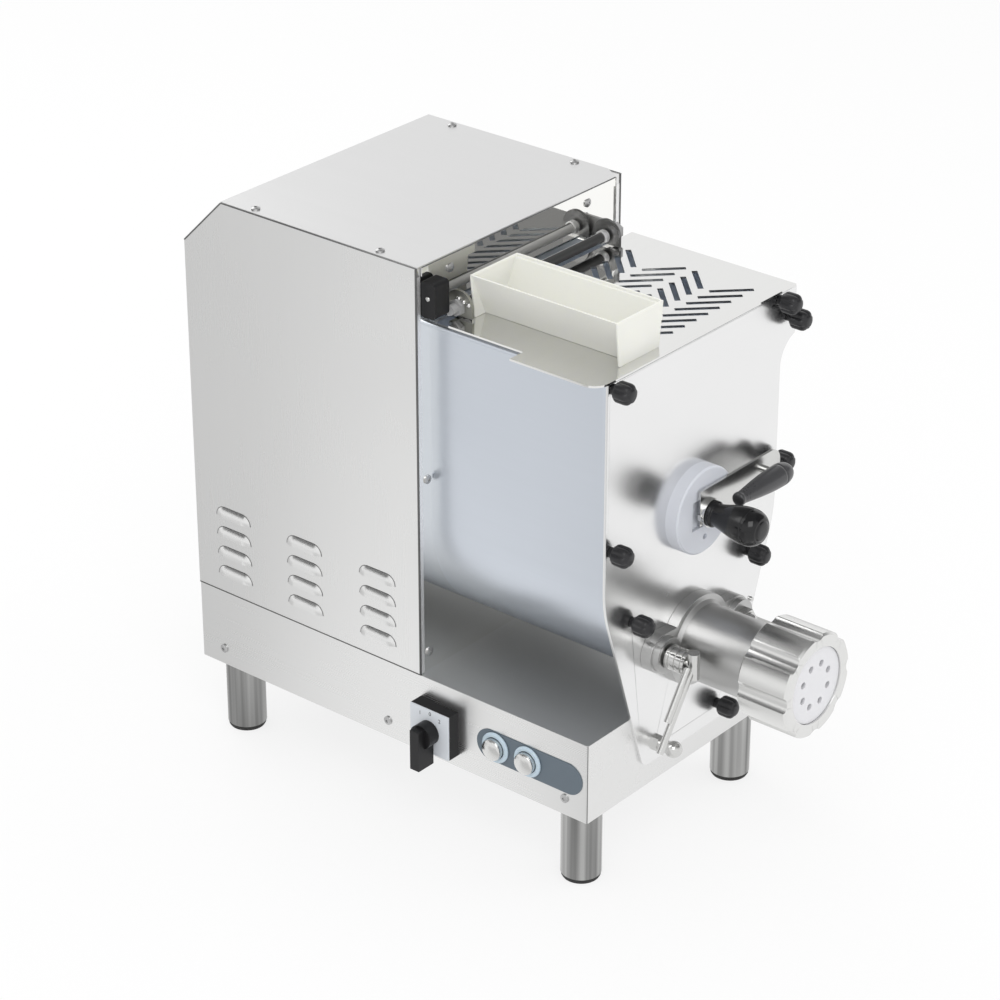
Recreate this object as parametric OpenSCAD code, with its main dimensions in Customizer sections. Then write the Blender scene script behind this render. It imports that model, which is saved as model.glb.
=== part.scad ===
// Electric pasta maker: a counter-top machine that kneads dough in a U-shaped
// trough and presses it through a die with an auger below the mixing paddles.
// All sizes are in millimetres. Built with the front of the base box at y = 0,
// the middle of the box at x = 0 and the floor at z = 0, then moved so that the
// origin is the middle of the footprint of the whole machine.

/* [Base box] */
// Length of the base box, front to back
base_l = 500; // [480:5:560]
// Width of the base box
base_w = 300; // [290:2:340]
// Height of the base box
base_h = 85; // [76:1:110]
// Thickness of the bent sheet
sheet_t = 1.5; // [1:0.1:2]
// Height of the base box above the floor
leg_h = 83; // [60:1:120]
// Outer diameter of a leg
leg_d = 40; // [34:1:46]
// Distance from the faces of the base box to the axis of a leg
leg_inset = 30; // [26:1:40]

/* [Casing] */
// Length of the casing over the drive
case_l = 295; // [285:5:320]
// Height of the casing above the base box
case_h = 424; // [414:1:460]
// Size of the slope at the top of the back
slope = 51; // [30:1:60]

/* [Trough] */
// Outer radius of the trough's round bottom
trough_r = 129; // [124:1:132]
// Wall thickness of the trough
trough_t = 1.5; // [1:0.1:2.5]
// Height of the trough's rim above the base box
rim_h = 361.5; // [350:0.5:375]
// Thickness of the plate that closes the front of the trough
plate_t = 3; // [2:0.5:4]
// Height of the auger's axis above the base box
auger_h = 54; // [52:1:62]

/* [Drive] */
// Module of the gears
gear_m = 3; // [2.9:0.05:3.05]
// Teeth of the gear on the mixing shaft
mixer_teeth = 66; // [66]
// Teeth of the gear on the auger
auger_teeth = 26; // [26]
// Teeth of the pinion on the countershaft
pinion_teeth = 14; // [14]
// Diameter of the mixing shaft
mixer_d = 25; // [20:1:30]
// Diameter of the auger's shaft
auger_d = 18; // [16:1:22]
// Outer radius of the auger's flight
auger_r = 24; // [20:0.5:25]
// Reach of a mixing paddle from its axis
paddle_r = 103; // [90:1:106]

/* [Extruder head] */
// Outer radius of the barrel
barrel_r = 37.5; // [34:0.5:40]
// Distance from the front plate to the front of the ring nut
head_l = 147; // [135:1:160]
// Outer radius of the ring nut
nut_r = 52; // [51:1:58]
// Radius of the die's visible face
die_r = 38; // [34:0.5:41]
// Number of holes in the die
die_holes = 8; // [6:1:8]
// Diameter of a hole in the die
die_hole_d = 7; // [5:0.5:8]

/* [Lid and hopper] */
// Thickness of the lid
lid_t = 2; // [1.5:0.5:3]
// Gap between the hopper and the lid's hinge rod
hopper_gap = 5; // [5:1:35]
// Width of the hopper at its rim
hopper_w = 68; // [60:1:68]
// Height of the hopper
hopper_h = 44; // [36:1:50]

/* [Controls] */
// Edge length of the switch plate
switch_w = 48; // [44:1:52]
// Diameter of a push button
button_d = 22; // [18:1:24]
// Diameter over the lobes of a clamping knob
knob_d = 20.5; // [18:0.5:24]

/* [Hidden] */

// General fits and small sizes
$fn = 64;
over = 1;               // overrun of a cut
run_fit = 0.05;         // radial play of a shaft in its bore
seat_gap = 0.3;         // gap between pieces that move past each other
rim_gap = 1.2;          // gap between the rim bead and the closed lid
bend_r = 2;             // outer radius of a bent sheet corner

// Heights and depths that everything else follows
deck_z = leg_h + base_h;
case_y = base_l - case_l;
case_top = deck_z + case_h;
auger_z = deck_z + auger_h;
mixer_z = auger_z + gear_m * (mixer_teeth + auger_teeth) / 2;
counter_z = mixer_z + gear_m * (mixer_teeth + pinion_teeth) / 2;
auger_floor_gap = 1.5;  // play between the auger and the trough's bottom
trough_z = auger_z - auger_r - auger_floor_gap - trough_t + trough_r;
rim_z = deck_z + rim_h;
wall_y = case_y + sheet_t;
plate_y = -plate_t;     // front face of the front plate
half_w = base_w / 2;

// Switch and buttons on the left wall of the base
switch_y = 182;         // from the front of the base to the switch
switch_up = 37.5;       // from the underside of the base to the switch
switch_deep = 13;       // depth of the switch body outside the wall
switch_plate_t = 2;
grip_reach = 22;        // how far the grip stands out of the switch plate
grip_w = 11;
grip_l = 33;            // from the switch axis to the end of the grip
grip_root = 10;         // how far the grip starts above the switch axis
boss_r = 12.5;
boss_h = 13;
spindle_r = 3.5;
spindle_out = 8;        // length of the spindle outside the switch plate
spindle_in = 10;        // length of the spindle behind the switch plate
block_w = 40;           // width of the contact block inside the base
block_l = 46;           // depth of the contact block inside the base
switch_z = leg_h + switch_up;
switch_x = -half_w - switch_deep - switch_plate_t;
button_ys = [110.5, 71];
button_up = 41.5;
button_z = leg_h + button_up;
button_travel = 4;
button_out = 4.5;       // how far the button's rim stands out of its bezel
button_dome = 3.5;
button_in = 14;         // length of the button behind the wall
bezel_w = 4;
bezel_h = 2.5;
label_t = 0.8;
label_ends = [6, 134];  // front and back end of the label
label_h = 33;

// Footprint of the whole machine
ear_reach = 154;        // the front plate's ear
knob_ear_x = 143;
gland_out = 14;         // how far the cable gland stands out of the back
louvre_out = 4;
reach_left = -switch_x + grip_reach;
reach_right = max(ear_reach, knob_ear_x + knob_d / 2, half_w + louvre_out);
reach_front = plate_t + head_l;
reach_back = base_l + gland_out;
mid_x = (reach_right - reach_left) / 2;
mid_y = (reach_back - reach_front) / 2;

// Screws with round heads
screw_r = 2;
screw_play = 0.2;
screw_head_r = 4.5;
screw_head_h = 2.4;
screw_l = 8;
socket_r = 1.7;
socket_h = 1.2;
side_screw_ends = [27, base_l - 31];
side_screw_ys = [side_screw_ends[0], (side_screw_ends[0] + side_screw_ends[1]) / 2, side_screw_ends[1]];
side_screw_up = 18;
top_screw_in_y = [50, 89];    // from the front of the casing and from its back
top_screw_ys = [case_y + top_screw_in_y[0], base_l - top_screw_in_y[1]];
top_screw_in = 8;       // from the side of the cover to a screw
wall_screw_in = 14.5;   // from the side of the casing to the wall screws
wall_screw_zs = [188, 373];
wall_high_in = 49;      // the upper wall screws lie further in
wall_high_down = 15;
side_screw_z = leg_h + side_screw_up;

// Flanges of the bent panels
front_flange = 6;
top_flange = 16;
floor_flange = 26;
cover_over = 2;         // how far the cover stands over the inner wall
cover_lip = 9;
cover_cut_x = 10;
cover_cut_y = 17;
panel_gap = 0.5;

// Louvres pressed into the side panels
louvre_cols = 3;
louvre_rows = 4;
louvre_back_in = 28;    // from the back of the casing to the first louvre's end
louvre_pitch_y = 95;
louvre_pitch_z = 22;
louvre_top_up = 86;     // from the base box to the top row's slit
louvre_l = 46;
louvre_h = 10.5;
louvre_r = (louvre_h * louvre_h + louvre_out * louvre_out) / (2 * louvre_out);

// Legs
leg_wall = 2;
leg_cap_t = 4;
pad_h = 5;
pad_in = 16;
pad_bevel = 2;
pad_lip = 0.8;

// Cable gland and control unit
gland_x = 70;
gland_up = 40;
gland_hex_r = 13;
gland_hex_h = 6;
gland_nut_h = 8;
gland_r = 10;
gland_in = 16;
gland_play = 0.2;
gland_bore_r = 4.5;
unit_size = [110, 70, 48];
unit_step = [70, 70, 14];
unit_from_back = 170;
unit_y = base_l - unit_from_back;
unit_x = -60;

// Motor
motor_up = 80;          // height of the motor's axis above its feet
motor_r = 62;
motor_l = 132;
motor_fins = 24;
fin_h = 7;
fin_w = 3;
motor_foot = [150, 96, 9];
motor_shaft_r = 9.5;
motor_cap_t = 8;
fan_cover_l = 26;
fan_cover_t = 1.5;
fan_cover_fit = 4;      // how far the fan cover goes over the body
fan_r = 48;
fan_t = 10;
fan_blades = 7;
fan_blade_t = 3;
fan_hub_r = 15;
fan_vents = 10;
fan_vent_r = 4.5;
fan_vent_ring = 34;
box_size = [60, 74, 34];
motor_z = deck_z + motor_up;

// Belt drive at the back
pulley_w = 18;
belt_w = 11;
belt_t = 6;
belt_play = 0.5;
motor_pulley_r = 24;    // radius of the belt's seat
driven_pulley_r = 84;
pulley_rim = 7;         // height of a pulley's flange above the seat
pulley_flange = (pulley_w - belt_w) / 2 - belt_play;
pulley_web_t = 6;
pulley_hub_r = 20;
pulley_rim_t = 8;
pulley_holes = 5;
pulley_hole_r = 15;
motor_hub_r = 16;
counter_d = 20;
shaft_end = 6;          // shaft length beyond a pulley

// Gear case
gear_w = 20;
gear_gap = 6;           // between a gear and the walls of the case
case_wall = 8;
case_skin = 5;
case_tip_gap = 3;
gear_clear = 0.25;      // of the module, below the tooth
pressure_angle = 25;
backlash = 0.4;
hex_play = 0.05;
bearing_w = 7;
bearing_ring = 11;      // radial size of a bearing
bearing_fit = 0.03;
shaft_tail = 4;
case_in_y = wall_y + sheet_t + case_wall;
gear_y = case_in_y + gear_gap;
case_back_y = gear_y + gear_w + gear_gap;
pulley_behind = 14;     // from the motor's body to its pulley
motor_share = 0.475;    // of the free length, in front of the motor
fan_ahead = fan_cover_l - fan_cover_fit;
motor_free = base_l - sheet_t - case_back_y - case_wall - fan_ahead - motor_l - pulley_behind - pulley_w
    - shaft_end;
motor_y = case_back_y + case_wall + fan_ahead + motor_share * motor_free;    // front of the motor's body
pulley_y = motor_y + motor_l + pulley_behind;
hex_share = 0.88;       // of the shaft's radius, a hexagon on the shaft
gasket_t = 6;
gasket_ring = 8;

// Mixing shaft and paddles
arm_r = 6;
arm_count = 5;
arm_step = 144;
arm_first_y = 28;
arm_end_gap = 32;
blade_w = 30;
blade_h = 26;
blade_t = 5;
blade_turn = 35;
disc_bore_l = 9;        // how deep the mixing shaft goes into the bearing disc

// Auger
flight_t = 4;
flight_pitch = 42;
flight_steps = 16;      // sections in one turn
flight_sink = 0.6;      // how deep the flight is let into its shaft
flight_back_gap = 8;
auger_nose_r = 6;
nose_l = 8;

// Trough details
bead_r = 2.7;
ring_t = 4;             // thickness of the front ring of the trough
ring_in = 30;           // how far the ring reaches into the trough
ear_drop = 77;          // from the plate's top to the start of the ear's curve
ear_curve = 30;

// Front plate
plate_r = 132;
plate_top_up = 2;       // above the rim
plate_foot_w = 144;     // width at the lower corners
plate_foot_up = 25;     // bottom edge above the underside of the base
plate_foot_r = 12;
stud_r = 3.5;
stud_play = 0.3;
stud_l = 20;            // length of a stud in front of the plate
plate_screw_x = 98;
plate_screw_up = 52;    // above the base box
plate_screw_r = 2.4;
plate_top_z = rim_z + plate_top_up;

// Clamping knobs: [x, height] on the front plate
knob_neck_r = 5.2;
knob_neck_l = 5.5;
knob_l = 16.5;
knob_lobes = 6;
knob_lobe_r = 3;
knob_cap_h = 1.6;
knob_top_down = 5;
knob_ear_down = 27;
knob_mid_up = 195;
knob_low_up = 108;
knob_foot_up = 43;
knob_in = [6, 7, 41, 24];    // from the plate's side to the top, middle, lower and foot knobs
knob_top = [plate_r - knob_in[0], plate_top_z - knob_top_down];
knob_ear_at = [knob_ear_x, plate_top_z - knob_ear_down];
knob_mid = [plate_r - knob_in[1], deck_z + knob_mid_up];
knob_low = [plate_r - knob_in[2], deck_z + knob_low_up];
knob_foot = [plate_foot_w / 2 - knob_in[3], leg_h + knob_foot_up];
cap_ball_r = 8.5;
cap_hex_r = 8;
cap_hex_h = 5;

// Bearing disc and lever
disc_r = 43.5;
disc_t = 14;
disc_edge = 1.5;
disc_recess = [40, 30];
disc_recess_deep = 3;
disc_web = 1;
plug_r = 3;
plug_ring = 27;
hub_r = 14;
hub_l = 8;
spigot_r = 8;
arm_bar_t = 3;
arm_bar_w = 36;
arm_bar_up = 8;         // middle of the bar above the axis
arm_bar_reach = 112;
arm_bar_at = 1.2;       // from the disc to the bar
arm_end_r = 14;
set_screw_r = 3.4;
set_screw_h = 2;
handle_collar_r = 12.8;
handle_collar_h = 4.5;
handle_neck_r = 9.5;
handle_r = 18;
handle_l = 50;
handle_tip = 8;
grip_neck_r = 7;
grip_r = 11.2;
grip_from = 19;
grip_to = 101;
grip_up = 11;
grip_off = 18;          // from the bar's face to the grip's axis
post_r = 4;
post_x = 86;

// Extruder head
flange_t = 12;
flange_r = 46;
ear_x = 57;
ear_up = 10;            // the clamp's bolt above the auger's axis
far_ear_up = 2;         // the fixed bolt on the right above that axis
ear_r = 20;
boss_t = 7;
barrel_play = 1.5;      // between the auger and the bore
collar_r = 45;
collar_l = 30;
nut_l = 55;
nut_lip = 7;
flange_fillet = 4;
nut_scallops = 8;
scallop_r = 11;
scallop_deep = 4.5;
nut_edge = 2;
die_t = 15;
die_face_back = 2;      // the die's face lies behind the ring nut's face
die_ring = 21.5;
die_shoulder = 44.6;
chamber_r = 31;
chamber_l = 12;
head_front = plate_y - head_l;
die_y = head_front + nut_lip + die_t;
bore_r = auger_r + barrel_play;
clamp_z = auger_z + ear_up;
clamp_stud_r = 6;
clamp_stud_l = 27;      // stud length in front of the boss
clamp_hub_r = 12;
clamp_hub_l = 21;
clamp_hub_ribs = 3;
clamp_rib = 1;
clamp_gap = 2;
tee_r = 6;
tee_l = 27;
rod_r = 3.4;
rod_l = 88;
rod_short_l = 58;
rod_turn = 34;          // from straight down, towards the left
rod_pitch = 8;
side_nut_r = 11;
side_nut_h = 9;
side_dome_r = 8;
clamp_y = plate_y - flange_t - boss_t;

// Lid
lid_front_over = 2;     // how far the lid stands over the front plate
lid_back_gap = 17;      // from the inner wall to the lid's back edge
lid_corner_r = 17;
lid_notch_y = 95;
lid_notch = 19;
lid_under = rim_z + bead_r + rim_gap;
lid_z = lid_under + lid_t;
slot_w = 5.6;
slot_l = 42;
slot_rows = 4;
slot_cols = 8;
slot_in = 52;           // from the side of the lid to the first slot
slot_first_x = half_w - slot_in;
slot_pitch_x = 17.8;
slot_first_y = 32;
slot_pitch_y = 39.5;
slot_turn = 45;
rod_back = 18.5;        // from the inner wall to the axis of the hinge rod
rod_y = wall_y - rod_back;
rod_up = 11;
rod_z = lid_z + rod_up;
hinge_rod_r = 5;
ear_in = 41;            // from the side of the lid to its ears
ear_at = half_w - ear_in;
ear_t = 3;
nut_h = 5;
ear_round = 16;
nut_w = 8.5;
bracket_gap = 0.8;
bracket_t = 3;
bracket_r = 10;
switch_box = [20, 18.5, 38];
hinge_end = half_w - front_flange - panel_gap - switch_box[0];    // left end of the rod
switch_notch = 5;       // play of the lid in front of its switch
switch_cap_r = 7;
switch_cap_h = 4;

// Hopper
hopper_t = 2.5;
hopper_in = 77;         // from the side of the lid to the middle of the hopper
hopper_x = hopper_in - half_w;
hopper_y = 8;
hopper_l = rod_y - hinge_rod_r - hopper_gap - hopper_y;
hopper_foot_share = 0.4;    // width of the bottom as a share of the rim
hopper_end_foot = 58;   // width of an end plate at its foot
hopper_slot_w = 10;
hopper_slot_in = 12;

// Moves the drawing so that the origin lies under the middle of the machine
module placed() {
    translate([-mid_x, -mid_y, 0]) children();
}

// Turns a shape drawn along +Z so that it points to -Y from the given height
module forward(x, y, z) {
    translate([x, y, z]) rotate([90, 0, 0]) children();
}

// Turns a shape drawn along +Z so that it points to +Y
module backward(x, y, z) {
    translate([x, y, z]) rotate([-90, 0, 0]) children();
}

// Turns a shape drawn along +Z so that it points to -X
module outward(x, y, z) {
    translate([x, y, z]) rotate([0, -90, 0]) children();
}

// A side view, drawn as y and z, made a plate of thickness t from x to x + t
module side_view(x, t) {
    translate([x, 0, 0]) rotate([90, 0, 90]) linear_extrude(height = t) children();
}

// A front view, drawn as x and z, made a plate from y to y + t
module front_view(y, t) {
    translate([0, y + t, 0]) rotate([90, 0, 0]) linear_extrude(height = t) children();
}

// Flat ring from z = 0
module ring(outer, inner, h) {
    difference() {
        cylinder(r = outer, h = h);
        translate([0, 0, -over]) cylinder(r = inner, h = h + 2 * over);
    }
}

// Round-headed screw: the head stands on z = 0 and the shank goes down
module screw() {
    difference() {
        union() {
            intersection() {
                cylinder(r = screw_head_r, h = screw_head_h);
                translate([0, 0, screw_head_h - 2 * screw_head_r]) sphere(r = 2 * screw_head_r);
            }
            translate([0, 0, -screw_l]) cylinder(r = screw_r, h = screw_l + over / 2);
        }
        translate([0, 0, screw_head_h - socket_h]) cylinder(r = socket_r, h = over + socket_h, $fn = 6);
    }
}

// Shank hole for a screw
module screw_hole() {
    translate([0, 0, -screw_l]) cylinder(r = screw_r + screw_play, h = screw_l + over);
}

// All the places of the panel screws; child 0 is drawn at each
module at_side_screws() {
    for (y = side_screw_ys, side = [0, 1])
        mirror([side, 0, 0]) outward(-half_w, y, side_screw_z) children();
}

module at_top_screws() {
    for (y = top_screw_ys, side = [-1, 1])
        translate([side * (half_w - top_screw_in), y, case_top + sheet_t]) children();
}

module at_wall_screws() {
    for (side = [-1, 1]) {
        for (z = wall_screw_zs) forward(side * (half_w - wall_screw_in), wall_y, z) children();
        forward(side * (half_w - wall_high_in), wall_y, case_top - wall_high_down) children();
    }
}

module at_legs() {
    for (x = [-1, 1] * (half_w - leg_inset), y = [leg_inset, base_l - leg_inset])
        translate([x, y, 0]) children();
}

// Base box: deck and four walls bent from one sheet, open below
module base_shell() {
    color("silver") difference() {
        translate([-half_w, 0, leg_h]) linear_extrude(height = base_h)
            offset(r = bend_r) offset(delta = -bend_r) square([base_w, base_l]);
        translate([-half_w + sheet_t, sheet_t, leg_h - over])
            cube([base_w - 2 * sheet_t, base_l - 2 * sheet_t, base_h - sheet_t + over]);
        translate([-half_w - over, switch_y - block_w / 2, switch_z - block_w / 2])
            cube([sheet_t + 2 * over, block_w, block_w]);
        for (y = button_ys) outward(-half_w + sheet_t + over, y, button_z)
            cylinder(d = button_d + 2 * seat_gap, h = sheet_t + 2 * over);
        backward(gland_x, base_l - sheet_t - over, leg_h + gland_up)
            cylinder(r = gland_r + gland_play, h = sheet_t + 2 * over);
        at_side_screws() screw_hole();
    }
}

// Floor of the base with the side flanges that the side screws hold
module base_floor() {
    in = sheet_t + panel_gap;
    color("gainsboro") difference() {
        translate([-half_w + in, in, leg_h]) cube([base_w - 2 * in, base_l - 2 * in, floor_flange]);
        translate([-half_w + in + sheet_t, -over, leg_h + sheet_t])
            cube([base_w - 2 * in - 2 * sheet_t, base_l + 2 * over, floor_flange]);
        at_side_screws() screw_hole();
        translate([-half_w, switch_y - block_w / 2 - panel_gap, switch_z - block_w / 2 - panel_gap])
            cube([floor_flange, block_w + 2 * panel_gap, block_w]);
    }
}

// Four legs: tubes closed at the top
module legs() {
    color("silver") at_legs() translate([0, 0, pad_h]) difference() {
        cylinder(d = leg_d, h = leg_h - pad_h);
        translate([0, 0, -over]) cylinder(r = leg_d / 2 - leg_wall, h = leg_h - pad_h - leg_cap_t + over);
    }
}

// Foot pads pushed into the legs
module foot_pads() {
    color("dimgray") at_legs() rotate_extrude() polygon([
        [0, 0], [leg_d / 2 - pad_bevel, 0], [leg_d / 2 - pad_lip, pad_bevel],
        [leg_d / 2 - pad_lip, pad_h], [leg_d / 2 - leg_wall - run_fit, pad_h],
        [leg_d / 2 - leg_wall - run_fit, pad_in], [0, pad_in]]);
}

// Outline of the casing's side, as y and z
module case_side(inset = 0) {
    polygon([[case_y, deck_z], [base_l - inset, deck_z],
        [base_l - inset, case_top - slope - inset * tan(45 / 2)],
        [base_l - slope - inset * tan(45 / 2), case_top - inset], [case_y, case_top - inset]]);
}

// One pressed louvre hood, drawn round its slit's middle on the plane x = 0,
// bulging to -X above the slit
module louvre_body(r) {
    straight = louvre_l - 2 * louvre_h;
    for (end = [-1, 1]) translate([louvre_r - louvre_out, end * straight / 2, 0]) sphere(r = r);
    translate([louvre_r - louvre_out, -straight / 2, 0]) rotate([-90, 0, 0])
        cylinder(r = r, h = straight);
}

module at_louvres() {
    for (col = [0 : louvre_cols - 1], row = [0 : louvre_rows - 1])
        translate([-half_w, base_l - louvre_back_in - louvre_l / 2 - col * louvre_pitch_y,
            deck_z + louvre_top_up - row * louvre_pitch_z]) children();
}

module louvre_clip(deep) {
    translate([-louvre_out - over, -louvre_l / 2, 0])
        cube([louvre_out + over + deep, louvre_l, louvre_h + over]);
}

// Side panel of the casing with its flanges, drawn on the left
module side_panel() {
    difference() {
        union() {
            difference() {
                side_view(-half_w, sheet_t) case_side();
                at_louvres() intersection() {
                    louvre_body(louvre_r);
                    louvre_clip(sheet_t + over);
                }
            }
            at_louvres() intersection() {
                difference() {
                    louvre_body(louvre_r);
                    louvre_body(louvre_r - sheet_t);
                }
                louvre_clip(sheet_t);
            }
            translate([-half_w, case_y, deck_z]) cube([front_flange, sheet_t, case_h]);
            translate([-half_w, case_y, case_top - sheet_t])
                cube([top_flange, case_l - slope, sheet_t]);
            translate([-half_w, wall_y + sheet_t + panel_gap, deck_z])
                cube([front_flange, case_l - 4 * sheet_t, sheet_t]);
        }
        at_top_screws() screw_hole();
    }
}

module left_panel() {
    color("silver") side_panel();
}

module right_panel() {
    color("silver") mirror([1, 0, 0]) side_panel();
}

// Back of the casing with the slope at its top
module rear_panel() {
    gap = sheet_t + panel_gap;
    color("silver") difference() {
        side_view(-half_w + gap, base_w - 2 * gap) difference() {
            case_side();
            translate([0, -over]) case_side(sheet_t);
            translate([0, deck_z - over]) square([base_l - 2 * slope, case_h + 2 * over]);
            translate([0, case_top - sheet_t - panel_gap]) square([base_l, slope]);
        }
        side_view(-half_w, top_flange + panel_gap)
            translate([0, case_top - sheet_t - 2 * panel_gap]) square([base_l, slope]);
        side_view(half_w - top_flange - panel_gap, top_flange + panel_gap)
            translate([0, case_top - sheet_t - 2 * panel_gap]) square([base_l, slope]);
    }
}

// Flat cover on top of the casing, with a lip over the inner wall
module top_cover() {
    front = case_y - cover_over;
    back = base_l - slope;
    color("silver") difference() {
        union() {
            translate([0, 0, case_top]) linear_extrude(height = sheet_t) polygon([
                [-half_w, front], [half_w - cover_cut_x, front], [half_w, front + cover_cut_y],
                [half_w, back], [-half_w, back]]);
            translate([-half_w + front_flange, front, case_top - cover_lip])
                cube([base_w - 2 * front_flange - cover_cut_x, sheet_t, cover_lip]);
        }
        at_top_screws() screw_hole();
    }
}

// Inner wall of the casing, behind the trough
module inner_wall() {
    gap = sheet_t + panel_gap;
    color("lightgray") difference() {
        translate([-half_w + gap, wall_y, deck_z])
            cube([base_w - 2 * gap, sheet_t, case_h - sheet_t - panel_gap]);
        backward(0, wall_y - over, mixer_z)
            cylinder(r = mixer_d / 2 + gasket_ring, h = sheet_t + 2 * over);
        backward(0, wall_y - over, auger_z)
            cylinder(r = auger_d / 2 + gasket_ring, h = sheet_t + 2 * over);
        at_wall_screws() screw_hole();
    }
}

// Every round-headed screw of the panels
module panel_screws() {
    color("gainsboro") {
        at_side_screws() screw();
        at_top_screws() screw();
        at_wall_screws() screw();
    }
}

// Gland for the supply cord in the back wall of the base
module cable_gland() {
    color("dimgray") backward(gland_x, base_l, leg_h + gland_up) difference() {
        union() {
            cylinder(r = gland_hex_r, h = gland_hex_h, $fn = 6);
            cylinder(r = gland_r + gland_play * 4, h = gland_out);
            translate([0, 0, -gland_in]) cylinder(r = gland_r, h = gland_in + over);
            translate([0, 0, -sheet_t - gland_hex_h])
                cylinder(r = gland_hex_r, h = gland_hex_h, $fn = 6);
        }
        translate([0, 0, -gland_in - over]) cylinder(r = gland_bore_r, h = gland_in + gland_out + 2 * over);
    }
}

// Contactor on the floor of the base
module control_unit() {
    color("dimgray") translate([unit_x, unit_y, leg_h + sheet_t]) {
        translate([-unit_size[0] / 2, -unit_size[1] / 2, 0]) cube(unit_size);
        translate([-unit_step[0] / 2, -unit_step[1] / 2, unit_size[2]]) cube(unit_step);
    }
}

// Motor body with cooling fins, feet and terminal box
module motor() {
    color("steelblue") difference() {
        union() {
            backward(0, motor_y, motor_z) {
                cylinder(r = motor_r, h = motor_l);
                for (i = [0 : motor_fins - 1]) rotate([0, 0, (i + 0.5) * 360 / motor_fins])
                    translate([0, -fin_w / 2, motor_cap_t])
                        cube([motor_r + fin_h, fin_w, motor_l - 2 * motor_cap_t]);
            }
            translate([-motor_foot[0] / 2, motor_y + (motor_l - motor_foot[1]) / 2, deck_z])
                cube(motor_foot);
            for (side = [-1, 1])
                translate([side * motor_r * 0.7 - case_wall / 2,
                    motor_y + (motor_l - motor_foot[1]) / 2, deck_z])
                    cube([case_wall, motor_foot[1], motor_up - motor_r * 0.6]);
            translate([motor_r * 0.8, motor_y + (motor_l - box_size[1]) / 2, motor_z - box_size[2] / 2])
                cube(box_size);
        }
        backward(0, motor_y - over, motor_z)
            cylinder(r = motor_shaft_r + run_fit, h = motor_l + 2 * over);
    }
}

// Pressed cover over the fan, with its air holes
module motor_fan_cover() {
    color("gray") forward(0, motor_y + fan_cover_fit, motor_z) difference() {
        cylinder(r = motor_r + fin_h + fan_cover_t, h = fan_cover_l);
        translate([0, 0, -over]) cylinder(r = motor_r + fan_cover_t / 5, h = fan_cover_fit + over);
        translate([0, 0, fan_cover_fit - over / 2])
            cylinder(r = motor_r - fan_cover_t, h = fan_cover_l - fan_cover_fit - fan_cover_t + over / 2);
        for (i = [0 : fan_vents - 1]) rotate([0, 0, i * 360 / fan_vents])
            translate([fan_vent_ring, 0, 0]) cylinder(r = fan_vent_r, h = fan_cover_l + over);
    }
}

// Motor shaft with its fan
module motor_rotor() {
    back = pulley_y + pulley_w + shaft_end;
    front = motor_y - fan_cover_l + fan_cover_fit + 2 * fan_cover_t;
    color("lightgray") {
        backward(0, front, motor_z) {
            cylinder(r = motor_shaft_r, h = back - front);
            cylinder(r = fan_hub_r, h = fan_t);
            for (i = [0 : fan_blades - 1]) rotate([0, 0, i * 360 / fan_blades])
                translate([fan_hub_r - over, -fan_blade_t / 2, 0])
                    cube([fan_r - fan_hub_r + over, fan_blade_t, fan_t - over]);
        }
    }
}

// Grooved belt pulley along +Z: seat radius, hub radius and bore radius
module pulley_rim_shape(seat) {
    rotate_extrude() polygon([
        [seat - pulley_rim_t, 0], [seat + pulley_rim, 0], [seat + pulley_rim, pulley_flange / 2],
        [seat, pulley_flange], [seat, pulley_w - pulley_flange],
        [seat + pulley_rim, pulley_w - pulley_flange / 2], [seat + pulley_rim, pulley_w],
        [seat - pulley_rim_t, pulley_w]]);
}

module motor_pulley() {
    color("gray") backward(0, pulley_y, motor_z) difference() {
        union() {
            pulley_rim_shape(motor_pulley_r);
            cylinder(r = motor_hub_r + over, h = pulley_w);
        }
        translate([0, 0, -over]) cylinder(r = motor_shaft_r + bearing_fit, h = pulley_w + 2 * over);
    }
}

module driven_pulley() {
    color("gray") backward(0, pulley_y, counter_z) difference() {
        union() {
            pulley_rim_shape(driven_pulley_r);
            translate([0, 0, (pulley_w - pulley_web_t) / 2])
                cylinder(r = driven_pulley_r - pulley_rim_t + over, h = pulley_web_t);
            cylinder(r = pulley_hub_r, h = pulley_w);
        }
        translate([0, 0, -over]) cylinder(r = counter_d / 2 + bearing_fit, h = pulley_w + 2 * over);
        for (i = [0 : pulley_holes - 1]) rotate([0, 0, i * 360 / pulley_holes])
            translate([(pulley_hub_r + driven_pulley_r - pulley_rim_t) / 2, 0, 0])
                cylinder(r = pulley_hole_r, h = pulley_w);
    }
}

// Loop round both pulleys, as x and z
module belt_loop(extra) {
    hull() {
        translate([0, motor_z]) circle(r = motor_pulley_r + extra, $fn = 48);
        translate([0, counter_z]) circle(r = driven_pulley_r + extra, $fn = 96);
    }
}

module drive_belt() {
    color("black") front_view(pulley_y + (pulley_w - belt_w) / 2, belt_w) difference() {
        belt_loop(belt_play + belt_t);
        belt_loop(belt_play);
    }
}

// Half angle of a gear tooth at radius r, in degrees
function involute(a) = tan(a) - a * PI / 180;
function tooth_half(r, teeth) =
    let (pitch = gear_m * teeth / 2, base = pitch * cos(pressure_angle),
        a = r > base ? acos(base / r) : 0)
    (PI / (2 * teeth) - backlash / (4 * pitch) + involute(pressure_angle) - involute(a)) * 180 / PI;

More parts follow.
